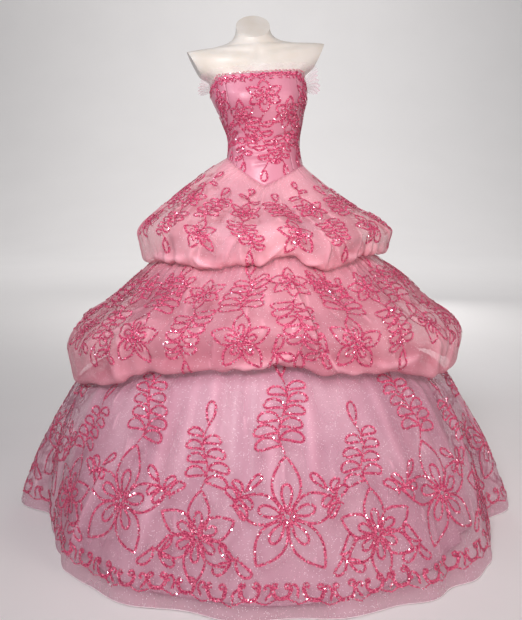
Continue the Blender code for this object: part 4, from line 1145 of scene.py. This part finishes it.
def organza(name, deep, light, alpha_low, alpha_high, glitter):
    """Sheer woven organza with flecks of glitter: denser where it lies in two layers, and paler there,
    partly as two layers and partly as painted highlight, and paler along crisp creases, ridges and gather
    crests as painted highlight.
    """
    made, nodes, links, shader = new_material(name, light, 0.56)
    shader.inputs["Specular IOR Level"].default_value = 0.3
    shader.inputs["Sheen Weight"].default_value = 0.03
    shader.inputs["Sheen Roughness"].default_value = 0.3
    shader.inputs["Sheen Tint"].default_value = (1.0, 0.75, 0.85, 1.0)
    slow = noise(nodes, links, 7.0, 5.0, stretch=(1.0, 1.0, 0.5))
    tone = ramp(nodes, links, slow.outputs["Fac"], [(0.28, deep), (0.72, light)])
    twofold_sheen_attribute = nodes.new("ShaderNodeAttribute")
    twofold_sheen_attribute.attribute_name = "twofold_and_sheen"
    paler = nodes.new("ShaderNodeMix")
    paler.data_type = "RGBA"
    halved = nodes.new("ShaderNodeMath")
    halved.operation = "MULTIPLY_ADD"
    halved.inputs[1].default_value = 0.5
    halved.inputs[2].default_value = 0.5
    links.new(twofold_sheen_attribute.outputs["Fac"], halved.inputs[0])
    # Painted highlight and density: the pale pink below is mixed in, and opacity added, by the point value
    # of two layers and painted crease and crest highlight.
    denser_and_highlit = ramp(nodes, links, halved.outputs["Value"], [(0.525, (0.0,)), (0.975, (0.38,))])
    thinner = ramp(nodes, links, halved.outputs["Value"], [(0.1, (0.35,)), (0.45, (1.0,))])
    links.new(denser_and_highlit.outputs["Color"], paler.inputs["Factor"])
    links.new(tone.outputs["Color"], paler.inputs["A"])
    paler.inputs["B"].default_value = (0.95, 0.58, 0.68, 1.0)
    place = nodes.new("ShaderNodeTexCoord")
    flecks = nodes.new("ShaderNodeTexVoronoi")
    flecks.inputs["Scale"].default_value = 330.0
    links.new(place.outputs["Object"], flecks.inputs["Vector"])
    near = nodes.new("ShaderNodeMath")
    near.operation = "LESS_THAN"
    near.inputs[1].default_value = 0.22
    links.new(flecks.outputs["Distance"], near.inputs[0])
    parts = nodes.new("ShaderNodeSeparateColor")
    links.new(flecks.outputs["Color"], parts.inputs["Color"])
    some = nodes.new("ShaderNodeMath")
    some.operation = "LESS_THAN"
    some.inputs[1].default_value = glitter
    links.new(parts.outputs["Red"], some.inputs[0])
    fleck = nodes.new("ShaderNodeMath")
    fleck.operation = "MULTIPLY"
    links.new(near.outputs["Value"], fleck.inputs[0])
    links.new(some.outputs["Value"], fleck.inputs[1])
    colour = nodes.new("ShaderNodeMix")
    colour.data_type = "RGBA"
    links.new(fleck.outputs["Value"], colour.inputs["Factor"])
    links.new(paler.outputs["Result"], colour.inputs["A"])
    colour.inputs["B"].default_value = (1.0, 0.86, 0.90, 1.0)
    links.new(colour.outputs["Result"], shader.inputs["Base Color"])
    thread = noise(nodes, links, 700.0, 2.0, stretch=(1.0, 1.0, 0.4))
    sheer = ramp(nodes, links, slow.outputs["Fac"], [(0.3, (alpha_low,)), (0.7, (alpha_high,))])
    solid = nodes.new("ShaderNodeMath")
    solid.operation = "MAXIMUM"
    links.new(sheer.outputs["Color"], solid.inputs[0])
    links.new(fleck.outputs["Value"], solid.inputs[1])
    veil = nodes.new("ShaderNodeMath")
    veil.operation = "ADD"
    veil.use_clamp = True
    links.new(solid.outputs["Value"], veil.inputs[0])
    links.new(denser_and_highlit.outputs["Color"], veil.inputs[1])
    seen = nodes.new("ShaderNodeMath")
    seen.operation = "MULTIPLY"
    links.new(veil.outputs["Value"], seen.inputs[0])
    links.new(thinner.outputs["Color"], seen.inputs[1])
    links.new(seen.outputs["Value"], shader.inputs["Alpha"])
    bump(nodes, links, shader, thread.outputs["Fac"], 0.0002, 0.4)
    return made


def crumples(count, low, high, seed, steep=0.35):
    """Fine sharp creases all round, mostly running down the cloth, none alike."""
    draw = np.random.default_rng(seed)
    made = []
    for index in range(count):
        angle = -180.0 + 360.0 * (index + draw.uniform(0.0, 1.0)) / count
        down = draw.uniform(low, high)
        length = draw.uniform(0.03, 0.13)
        lean = draw.normal(0.0, steep) * length / 0.0075
        depth = draw.uniform(0.0010, 0.0024) * draw.choice([-1.0, 1.0, 1.0])
        made.append(((angle - 0.5 * lean, down - 0.5 * length), (angle + 0.5 * lean, down + 0.5 * length),
                     draw.uniform(0.0020, 0.0042), depth, draw.uniform(-0.09, 0.09), "crisp"))
    return made


def carried_round(creases, seed):
    """Creases like those of the front for the hidden side, each a little moved and changed."""
    draw = np.random.default_rng(seed)
    made = []
    for start, stop, width, depth, bow, kind in creases:
        angle, down = draw.uniform(-7.0, 7.0), draw.uniform(-0.015, 0.015)
        grown = draw.uniform(0.75, 1.2)
        made.append(((start[0] + 180.0 + angle, start[1] + down), (stop[0] + 180.0 + angle, stop[1] + down),
                     width * grown, depth * draw.uniform(0.7, 1.1), bow, kind))
    return made


TIER1_BULGE, TIER2_BULGE, SKIRT_HEM = 0.384, 0.602, 0.740
TIER1_FOLD = [
    dict(angle=-172, height=0.752, swell=0.004),
    dict(angle=-146, height=0.776, swell=-0.006),
    dict(angle=-120, height=0.750, swell=0.004),
    dict(angle=-96, height=0.746, swell=0.000),
    dict(angle=-72, height=0.752, swell=-0.004),
    dict(angle=-50, height=0.772, swell=-0.010),
    dict(angle=-27, height=0.762, swell=0.000),
    dict(angle=-4, height=0.776, swell=-0.006),
    dict(angle=10, height=0.800, swell=-0.014),
    dict(angle=27, height=0.758, swell=0.000),
    dict(angle=50, height=0.790, swell=-0.008),
    dict(angle=72, height=0.780, swell=0.002),
    dict(angle=98, height=0.764, swell=0.004),
    dict(angle=124, height=0.752, swell=0.000),
    dict(angle=150, height=0.778, swell=-0.006),
]
TIER2_FOLD = [
    dict(angle=-168, height=0.402, swell=0.000),
    dict(angle=-144, height=0.440, swell=-0.016),
    dict(angle=-120, height=0.398, swell=0.000),
    dict(angle=-94, height=0.400, swell=0.002),
    dict(angle=-72, height=0.410, swell=0.000),
    dict(angle=-52, height=0.446, swell=-0.014),
    dict(angle=-32, height=0.512, swell=-0.040),
    dict(angle=-13, height=0.532, swell=-0.050),
    dict(angle=4, height=0.545, swell=-0.058),
    dict(angle=17, height=0.520, swell=-0.048),
    dict(angle=36, height=0.508, swell=-0.036),
    dict(angle=56, height=0.462, swell=-0.014),
    dict(angle=76, height=0.452, swell=0.000),
    dict(angle=100, height=0.432, swell=0.002),
    dict(angle=124, height=0.400, swell=0.000),
    dict(angle=148, height=0.440, swell=-0.016),
]
HEM_FLUTES = [
    dict(angle=-172, radius=0.722), dict(angle=-160, radius=0.758), dict(angle=-147, radius=0.718),
    dict(angle=-134, radius=0.762), dict(angle=-120, radius=0.714), dict(angle=-107, radius=0.758),
    dict(angle=-94, radius=0.704), dict(angle=-81, radius=0.766), dict(angle=-70, radius=0.668),
    dict(angle=-60, radius=0.684), dict(angle=-51, radius=0.708), dict(angle=-44, radius=0.738),
    dict(angle=-36, radius=0.742), dict(angle=-27, radius=0.758), dict(angle=-15, radius=0.732),
    dict(angle=-5, radius=0.754), dict(angle=5, radius=0.740), dict(angle=15, radius=0.760),
    dict(angle=24, radius=0.754), dict(angle=32, radius=0.778), dict(angle=37, radius=0.764),
    dict(angle=43, radius=0.782), dict(angle=50, radius=0.770), dict(angle=58, radius=0.734),
    dict(angle=67, radius=0.688), dict(angle=78, radius=0.767), dict(angle=89, radius=0.710),
    dict(angle=99, radius=0.760), dict(angle=111, radius=0.714), dict(angle=123, radius=0.762),
    dict(angle=136, radius=0.718), dict(angle=149, radius=0.760), dict(angle=161, radius=0.722),
    dict(angle=175, radius=0.762),
]
STAND_OFF = [
    dict(down=0.00, out=0.000),
    dict(down=0.06, out=0.042),
    dict(down=0.14, out=0.068),
    dict(down=0.30, out=0.073),
    dict(down=0.50, out=0.077),
    dict(down=0.70, out=0.072),
    dict(down=0.88, out=0.060),
    dict(down=1.00, out=0.046),
]


def tier3_rows(angles):
    top = around(TIER2_FOLD, "height", angles) + 0.030
    flute = around(HEM_FLUTES, "radius", angles) - SKIRT_HEM
    rows = []
    for down in np.linspace(0.0, 1.0, 90):
        height = top + (HEM_HEIGHT - top) * down
        radius = (underskirt_radius(height) + SEAT_GAP + ORGANZA_WALL
                  + smooth_between(STAND_OFF, "down", "out", down) + flute * down ** 1.6)
        rows.append(at_radius(angles, radius, height))
    return np.array(rows)


TIER3_CREASES = [
    ((-37, 0.260), (-45, 0.600), 0.032, 0.0160, 0.00, "tuck"),
    ((50, 0.520), (64, 0.100), 0.032, 0.0150, 0.03, "tuck"),
    ((-58, 0.100), (-64, 0.520), 0.022, 0.0036, 0.02, "ridge"),
    ((-30, 0.020), (-33, 0.480), 0.014, -0.0030, 0.02, "ridge"),
    ((-24, 0.060), (-25, 0.600), 0.018, 0.0030, 0.00, "ridge"),
    ((-18, 0.010), (-19, 0.380), 0.010, -0.0024, 0.01, "ridge"),
    ((-14, 0.040), (-12, 0.320), 0.012, 0.0030, -0.02, "ridge"),
    ((-5, 0.020), (-4, 0.600), 0.012, -0.0030, 0.01, "ridge"),
    ((0, 0.090), (2, 0.560), 0.016, 0.0024, 0.02, "ridge"),
    ((7, 0.010), (6, 0.350), 0.010, -0.0024, 0.00, "ridge"),
    ((12, 0.050), (11, 0.500), 0.014, 0.0030, -0.02, "ridge"),
    ((22, 0.020), (26, 0.560), 0.012, -0.0030, 0.02, "ridge"),
    ((30, 0.050), (33, 0.420), 0.016, 0.0030, 0.00, "ridge"),
    ((41, 0.030), (46, 0.540), 0.014, -0.0036, 0.02, "ridge"),
    ((74, 0.060), (78, 0.500), 0.018, 0.0036, 0.01, "ridge"),
    ((-76, 0.060), (-80, 0.500), 0.018, -0.0036, 0.01, "ridge"),
    ((86, 0.100), (84, 0.560), 0.030, 0.0063, 0.02, "tuck"),
]
TIER3_RIPPLES = [
    (71, 0.0030, 0.00, 0.12, 0.7),
    (37, 0.0022, 0.22, 0.16, 2.1),
]
creases = TIER3_CREASES + carried_round(TIER3_CREASES, 3) + crumples(96, 0.06, 0.56, 33, 0.12)
tier3 = Cloth(tier3_rows, 112, creases, TIER3_RIPPLES, turns=1440)
skirt_organza = organza("skirt_organza", (0.51, 0.17, 0.27), (0.70, 0.37, 0.475), 0.40, 0.52, 0.28)
skirt_halves("tier3", tier3, 400, skirt_organza, "organza")

SKIRT_POSIES = [              # two kinds in turn round the hem
    dict(up=0.228, size=0.132, petals=5,
         sprigs=[(0, 0.190, 5, 0.064), (126, 0.020, 1, 0.052), (-126, 0.020, 1, 0.052)]),
    dict(up=0.172, size=0.102, petals=6,
         sprigs=[(0, 0.150, 4, 0.058), (42, 0.050, 2, 0.046), (-42, 0.050, 2, 0.046)]),
]
SKIRT_REPEATS = 20
strokes, hearts = [], []
for index in range(SKIRT_REPEATS):
    angle = -180.0 + 360.0 * (index + 0.25) / SKIRT_REPEATS
    kind = SKIRT_POSIES[index % 2]
    strokes += posy(tier3, angle, kind["up"], kind["size"], kind["petals"], kind["sprigs"],
                    flip=1 if index % 4 < 2 else -1, from_hem=True)
    hearts += laid_on(tier3, angle, kind["up"], studs(kind["size"], 0.12), from_hem=True)


def scroll(width, height, curl):
    """An open scroll like a U, each end rolled in to a small round curl."""
    part = np.linspace(0.0, 1.0, 14)
    turn = np.linspace(0.0, 1.9 * np.pi, 20)
    made = []
    for way in (-1, 1):
        radius = curl * (1.0 + 0.12 * way)
        arm = np.stack([way * 0.5 * width * np.sin(0.5 * np.pi * part) ** 0.8,
                        height * (1.0 - np.cos(0.5 * np.pi * part)) ** 1.2], axis=1)
        ring = np.stack([way * np.cos(turn), np.sin(turn)], axis=1)
        rolled = np.linspace(1.0, 0.45, 20)[:, None] * radius * ring
        made += [(arm, 3), (arm[-1] - [way * radius, 0.0] + rolled, 2)]
    return made


BORDER_REPEATS = 62
HOOK = [(0.0, 0.0), (0.006, 0.018), (-0.001, 0.031), (-0.011, 0.029), (-0.011, 0.020), (-0.005, 0.021)]
hook = curve_through(HOOK)
link = np.stack([np.linspace(-0.037, 0.037, 16), -0.004 + 0.006 * np.cos(np.linspace(-3, 3, 16))], axis=1)
draw = np.random.default_rng(32)
for index in range(BORDER_REPEATS):
    angle = -180.0 + 360.0 * (index + 0.5) / BORDER_REPEATS
    level = 0.046 + 0.003 * math.sin(1.7 * index)
    curls = scroll(draw.uniform(0.042, 0.054), draw.uniform(0.026, 0.034), 0.0072)
    strokes += laid_on(tier3, angle, level, curls, turn=draw.uniform(-16.0, 16.0), from_hem=True)
    between = angle + 180.0 / BORDER_REPEATS
    strokes += laid_on(tier3, between, level, [(hook, 2)], turn=draw.uniform(-25.0, 25.0),
                       flip=int(draw.choice([-1, 1])), from_hem=True)
    strokes += laid_on(tier3, angle, level, [(link, 1)], from_hem=True)
embroidered("tier3", tier3, strokes, 0.0026, 0.0037, 0.0015, 31)
crystals("tier3_crystals", tier3, hearts, 0.0028, 34)

# The long skirt's edge. The organza is rolled tight round a fine wire, which holds the flutes,
# and oversewn in a pale thread.
HEM_ROLL = 0.0010
rolled_thread, nodes, links, shader = new_material("rolled_hem_thread", (0.92, 0.80, 0.85), 0.45)
twist = noise(nodes, links, 500.0, 2.0)
toned(nodes, links, shader, twist.outputs["Fac"],
      [(0.3, (0.84, 0.66, 0.73)), (0.7, (0.95, 0.87, 0.90))])
bump(nodes, links, shader, twist.outputs["Fac"], 0.0002, 0.6)
edge = tier3.at(np.linspace(-180.0, 180.0, 1200, endpoint=False))[0][-1]
hem = tube("tier3_rolled_hem", edge, HEM_ROLL, 4, rolled_thread, closed=True)
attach(hem, GOWN)

# The middle tier, two halves of organza hung from under the upper tier, puffed out and caught
# up to the satin, higher in front, so that its lower fold hangs in swags.
BULGE_RISE = 0.066
PUFFS = [
    dict(angle=-94, height=0.585, spread=22, rise=0.030, out=0.022),
    dict(angle=86, height=0.712, spread=26, rise=0.036, out=0.014),
]


def turned_under(bulge, bulge_height, fold, seat_height):
    """Rows of (radius, height) for a puffed tier's lower edge, from its widest ring to its seat."""
    seat = underskirt_radius(seat_height) + SEAT_GAP + ORGANZA_WALL
    edge = bulge - 0.016
    drop = bulge_height - fold
    return [(bulge - 0.006, bulge_height - 0.50 * drop), (edge + 0.004, fold + 0.10 * drop),
            (edge - 0.008, fold), (edge - 0.018, fold + 0.010), (seat, seat_height)]


def tier2_rows(angles):
    fold = around(TIER2_FOLD, "height", angles)
    bulge_height = fold + 1.4 * BULGE_RISE
    bulge = TIER2_BULGE + around(TIER2_FOLD, "swell", angles)
    top = around(TIER1_FOLD, "height", angles) + 0.012
    rows = []
    for down in (0.0, 0.12, 0.24, 0.38, 0.52, 0.66, 0.80, 0.90, 1.0):
        height = top + (bulge_height - top) * down
        start = underskirt_radius(top) + SEAT_GAP + ORGANZA_WALL
        pleats = 0.005 * np.sin(np.radians(19 * angles + 40)) * math.sin(math.pi * down)
        radius = start + (bulge - start) * smooth_between(FLARE, "down", "out", down) + pleats
        for puff in PUFFS:
            turn = wrapped(angles - puff["angle"])
            near = np.exp(-(turn / puff["spread"]) ** 2 - ((height - puff["height"]) / puff["rise"]) ** 2)
            radius = radius + puff["out"] * near * eased(down / 0.2)
        rows.append(at_radius(angles, radius, height))
    for radius, height in turned_under(bulge, bulge_height, fold, fold + 0.055):
        rows.append(at_radius(angles, radius, height))
    return through(np.array(rows))


TIER2_CREASES = [
    ((15.7, 0.415), (10.0, 0.050), 0.030, 0.0150, 0.03, "tuck"),
    ((-14, 0.362), (12, 0.350), 0.012, 0.0056, -0.05, "ridge"),
    ((-12, 0.270), (-14, 0.380), 0.020, 0.0035, -0.04, "tuck"),
    ((33, 0.130), (49, 0.045), 0.018, 0.0046, 0.05, "tuck"),
    ((48, 0.045), (72, 0.130), 0.008, 0.0035, 0.05, "ridge"),
    ((50, 0.290), (76, 0.090), 0.021, 0.0052, 0.06, "tuck"),
    ((45, 0.250), (58, 0.410), 0.018, 0.0059, 0.08, "tuck"),
    ((16, 0.360), (30, 0.372), 0.010, 0.0042, -0.10, "ridge"),
    ((27, 0.340), (48, 0.385), 0.012, 0.0049, -0.10, "ridge"),
    ((20, 0.200), (34, 0.300), 0.010, -0.0028, -0.08, "ridge"),
    ((-62, 0.310), (-34, 0.170), 0.008, 0.0035, 0.06, "ridge"),
    ((-60, 0.380), (-28, 0.230), 0.010, 0.0042, 0.07, "ridge"),
    ((-46, 0.180), (-40, 0.400), 0.018, 0.0046, 0.05, "tuck"),
    ((-44, 0.405), (-18, 0.372), 0.012, 0.0049, -0.08, "ridge"),
    ((-38, 0.330), (-24, 0.340), 0.010, -0.0028, -0.10, "ridge"),
    ((-32, 0.060), (-22, 0.250), 0.010, 0.0028, 0.03, "ridge"),
    ((-12, 0.050), (-16, 0.220), 0.010, -0.0028, 0.02, "ridge"),
    ((-2, 0.040), (2, 0.260), 0.012, 0.0028, 0.02, "ridge"),
    ((24, 0.030), (27, 0.200), 0.010, -0.0028, 0.02, "ridge"),
    ((84, 0.150), (80, 0.420), 0.018, 0.0052, 0.04, "tuck"),
    ((-84, 0.150), (-78, 0.420), 0.012, 0.0049, 0.05, "ridge"),
]
TIER2_RIPPLES = [
    (83, 0.0028, 0.00, 0.09, 1.9),
    (47, 0.0038, 0.40, 0.05, 0.5),
    (23, 0.0044, 0.42, 0.06, 1.1),
]
creases = TIER2_CREASES + carried_round(TIER2_CREASES, 2) + crumples(120, 0.06, 0.40, 22)
tier2 = Cloth(tier2_rows, 104, creases, TIER2_RIPPLES, turns=1440)
tier2_organza = organza("tier2_organza", (0.60, 0.155, 0.225), (0.80, 0.31, 0.38), 0.46, 0.60, 0.14)
skirt_halves("tier2", tier2, 350, tier2_organza, "organza")

TIER2_POSIES = [              # two kinds in turn: high with hanging sprigs, low with rising ones
    dict(down=0.135, size=0.056, petals=6, sprigs=[(180, 0.150, 5, 0.056), (62, 0.022, 1, 0.044)]),
    dict(down=0.300, size=0.076, petals=5, sprigs=[(0, 0.140, 5, 0.060), (-118, 0.016, 1, 0.046)]),
]
TIER2_REPEATS = 24
strokes, hearts = [], []
for index in range(TIER2_REPEATS):
    angle = -180.0 + 360.0 * (index + 0.6) / TIER2_REPEATS
    kind = TIER2_POSIES[index % 2]
    strokes += posy(tier2, angle, kind["down"], kind["size"], kind["petals"], kind["sprigs"],
                    flip=1 if index % 4 < 2 else -1)
    hearts += laid_on(tier2, angle, kind["down"], studs(kind["size"], 0.22))
embroidered("tier2", tier2, strokes, 0.0026, 0.0038, 0.0015, 41)
crystals("tier2_crystals", tier2, hearts, 0.0028, 42)

# The upper tier, two halves of embroidered organza gathered into the waist seam. It is puffed out,
# turned under and caught to the satin, so that its lower fold hangs in swags.
TIER1_LEAN = -0.025
TIER1_OUT = UNDERSKIRT_OUT + SEAM_GAP + ORGANZA_WALL + 0.0012


def tier1_rows(angles):
    fold = around(TIER1_FOLD, "height", angles)
    bulge_height = fold + BULGE_RISE
    bulge = TIER1_BULGE + around(TIER1_FOLD, "swell", angles)
    seam = waist_seam(angles)
    rows = []
    for down in (0.0, 0.08, 0.16, 0.24, 0.38, 0.52, 0.66, 0.80, 0.90, 1.0):
        height = seam + (bulge_height - seam) * down
        belly = math.sin(math.pi * down)
        pleats = 0.004 * np.sin(np.radians(14 * angles)) * belly
        place = off_the_waist(angles, height, TIER1_OUT, bulge_height, bulge)
        place = place + outward(angles) * pleats[:, None]
        rows.append(place + np.array([TIER1_LEAN * max(belly, 0.0) ** 0.7, 0.0, 0.0]))
    for radius, height in turned_under(bulge, bulge_height, fold, fold + 0.034):
        rows.append(at_radius(angles, radius, height))
    return through(np.array(rows))


TIER1_CREASES = [
    ((-16.5, 0.400), (-8.0, 0.290), 0.021, 0.0097, 0.06, "tuck"),
    ((-6.0, 0.385), (10.0, 0.322), 0.014, 0.0067, -0.08, "tuck"),
    ((25.6, 0.410), (27.6, 0.260), 0.025, 0.0125, 0.00, "tuck"),
    ((25.3, 0.250), (35.5, 0.415), 0.021, 0.0067, -0.06, "tuck"),
    ((-33.0, 0.408), (-24.0, 0.325), 0.016, 0.0075, 0.08, "tuck"),
    ((-55.0, 0.410), (-44.0, 0.335), 0.015, 0.0065, -0.06, "tuck"),
    ((36.0, 0.408), (46.0, 0.338), 0.015, 0.0070, -0.08, "tuck"),
    ((31, 0.345), (50, 0.372), 0.009, 0.0064, -0.16, "ridge"),
    ((12, 0.372), (25, 0.378), 0.009, 0.0056, -0.10, "ridge"),
    ((-32, 0.372), (-17, 0.392), 0.009, 0.0064, -0.14, "ridge"),
    ((-64, 0.405), (-28, 0.375), 0.012, 0.0064, -0.05, "ridge"),
    ((-60, 0.440), (-34, 0.408), 0.008, -0.0040, -0.05, "ridge"),
    ((-52, 0.180), (-40, 0.330), 0.012, -0.0040, 0.05, "ridge"),
    ((-30, 0.080), (-20, 0.260), 0.012, 0.0032, 0.04, "ridge"),
    ((-9, 0.060), (-11, 0.250), 0.009, -0.0024, 0.02, "ridge"),
    ((4, 0.020), (4, 0.200), 0.005, 0.0024, 0.01, "ridge"),
    ((16, 0.060), (19, 0.260), 0.010, 0.0032, 0.02, "ridge"),
    ((37, 0.110), (42, 0.300), 0.012, -0.0040, 0.03, "ridge"),
    ((58, 0.260), (72, 0.390), 0.021, 0.0067, 0.08, "tuck"),
    ((84, 0.400), (80, 0.180), 0.021, 0.0053, 0.05, "tuck"),
    ((-82, 0.180), (-76, 0.420), 0.021, 0.0060, 0.05, "tuck"),
]
TIER1_RIPPLES = [
    (61, 0.0005, 0.00, 0.080, 0.3),
    (43, 0.0040, 0.39, 0.045, 1.2),
    (19, 0.0040, 0.42, 0.060, 2.0),
]
creases = TIER1_CREASES + carried_round(TIER1_CREASES, 1) + crumples(84, 0.15, 0.40, 11)
tier1 = Cloth(tier1_rows, 100, creases, TIER1_RIPPLES, turns=1440)
tier1_organza = organza("tier1_organza", (0.68, 0.20, 0.265), (0.92, 0.41, 0.47), 0.38, 0.54, 0.10)
skirt_halves("tier1", tier1, 320, tier1_organza, "organza")

TIER1_POSIES = [              # two kinds in turn: high with hanging sprigs, low with rising ones
    dict(down=0.180, size=0.046, petals=6, sprigs=[(180, 0.110, 4, 0.042), (0, 0.050, 1, 0.034)]),
    dict(down=0.305, size=0.056, petals=5, sprigs=[(0, 0.110, 4, 0.044)]),
]
TIER1_REPEATS = 18
strokes, hearts = [], []
for index in range(TIER1_REPEATS):
    angle = -180.0 + 360.0 * (index + 0.7) / TIER1_REPEATS
    kind = TIER1_POSIES[index % 2]
    strokes += posy(tier1, angle, kind["down"], kind["size"], kind["petals"], kind["sprigs"],
                    flip=1 if index % 4 < 2 else -1)
    hearts += laid_on(tier1, angle, kind["down"], studs(kind["size"], 0.25))
embroidered("tier1", tier1, strokes, 0.0026, 0.0034, 0.0016, 51)
crystals("tier1_crystals", tier1, hearts, 0.0026, 52)

low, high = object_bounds()
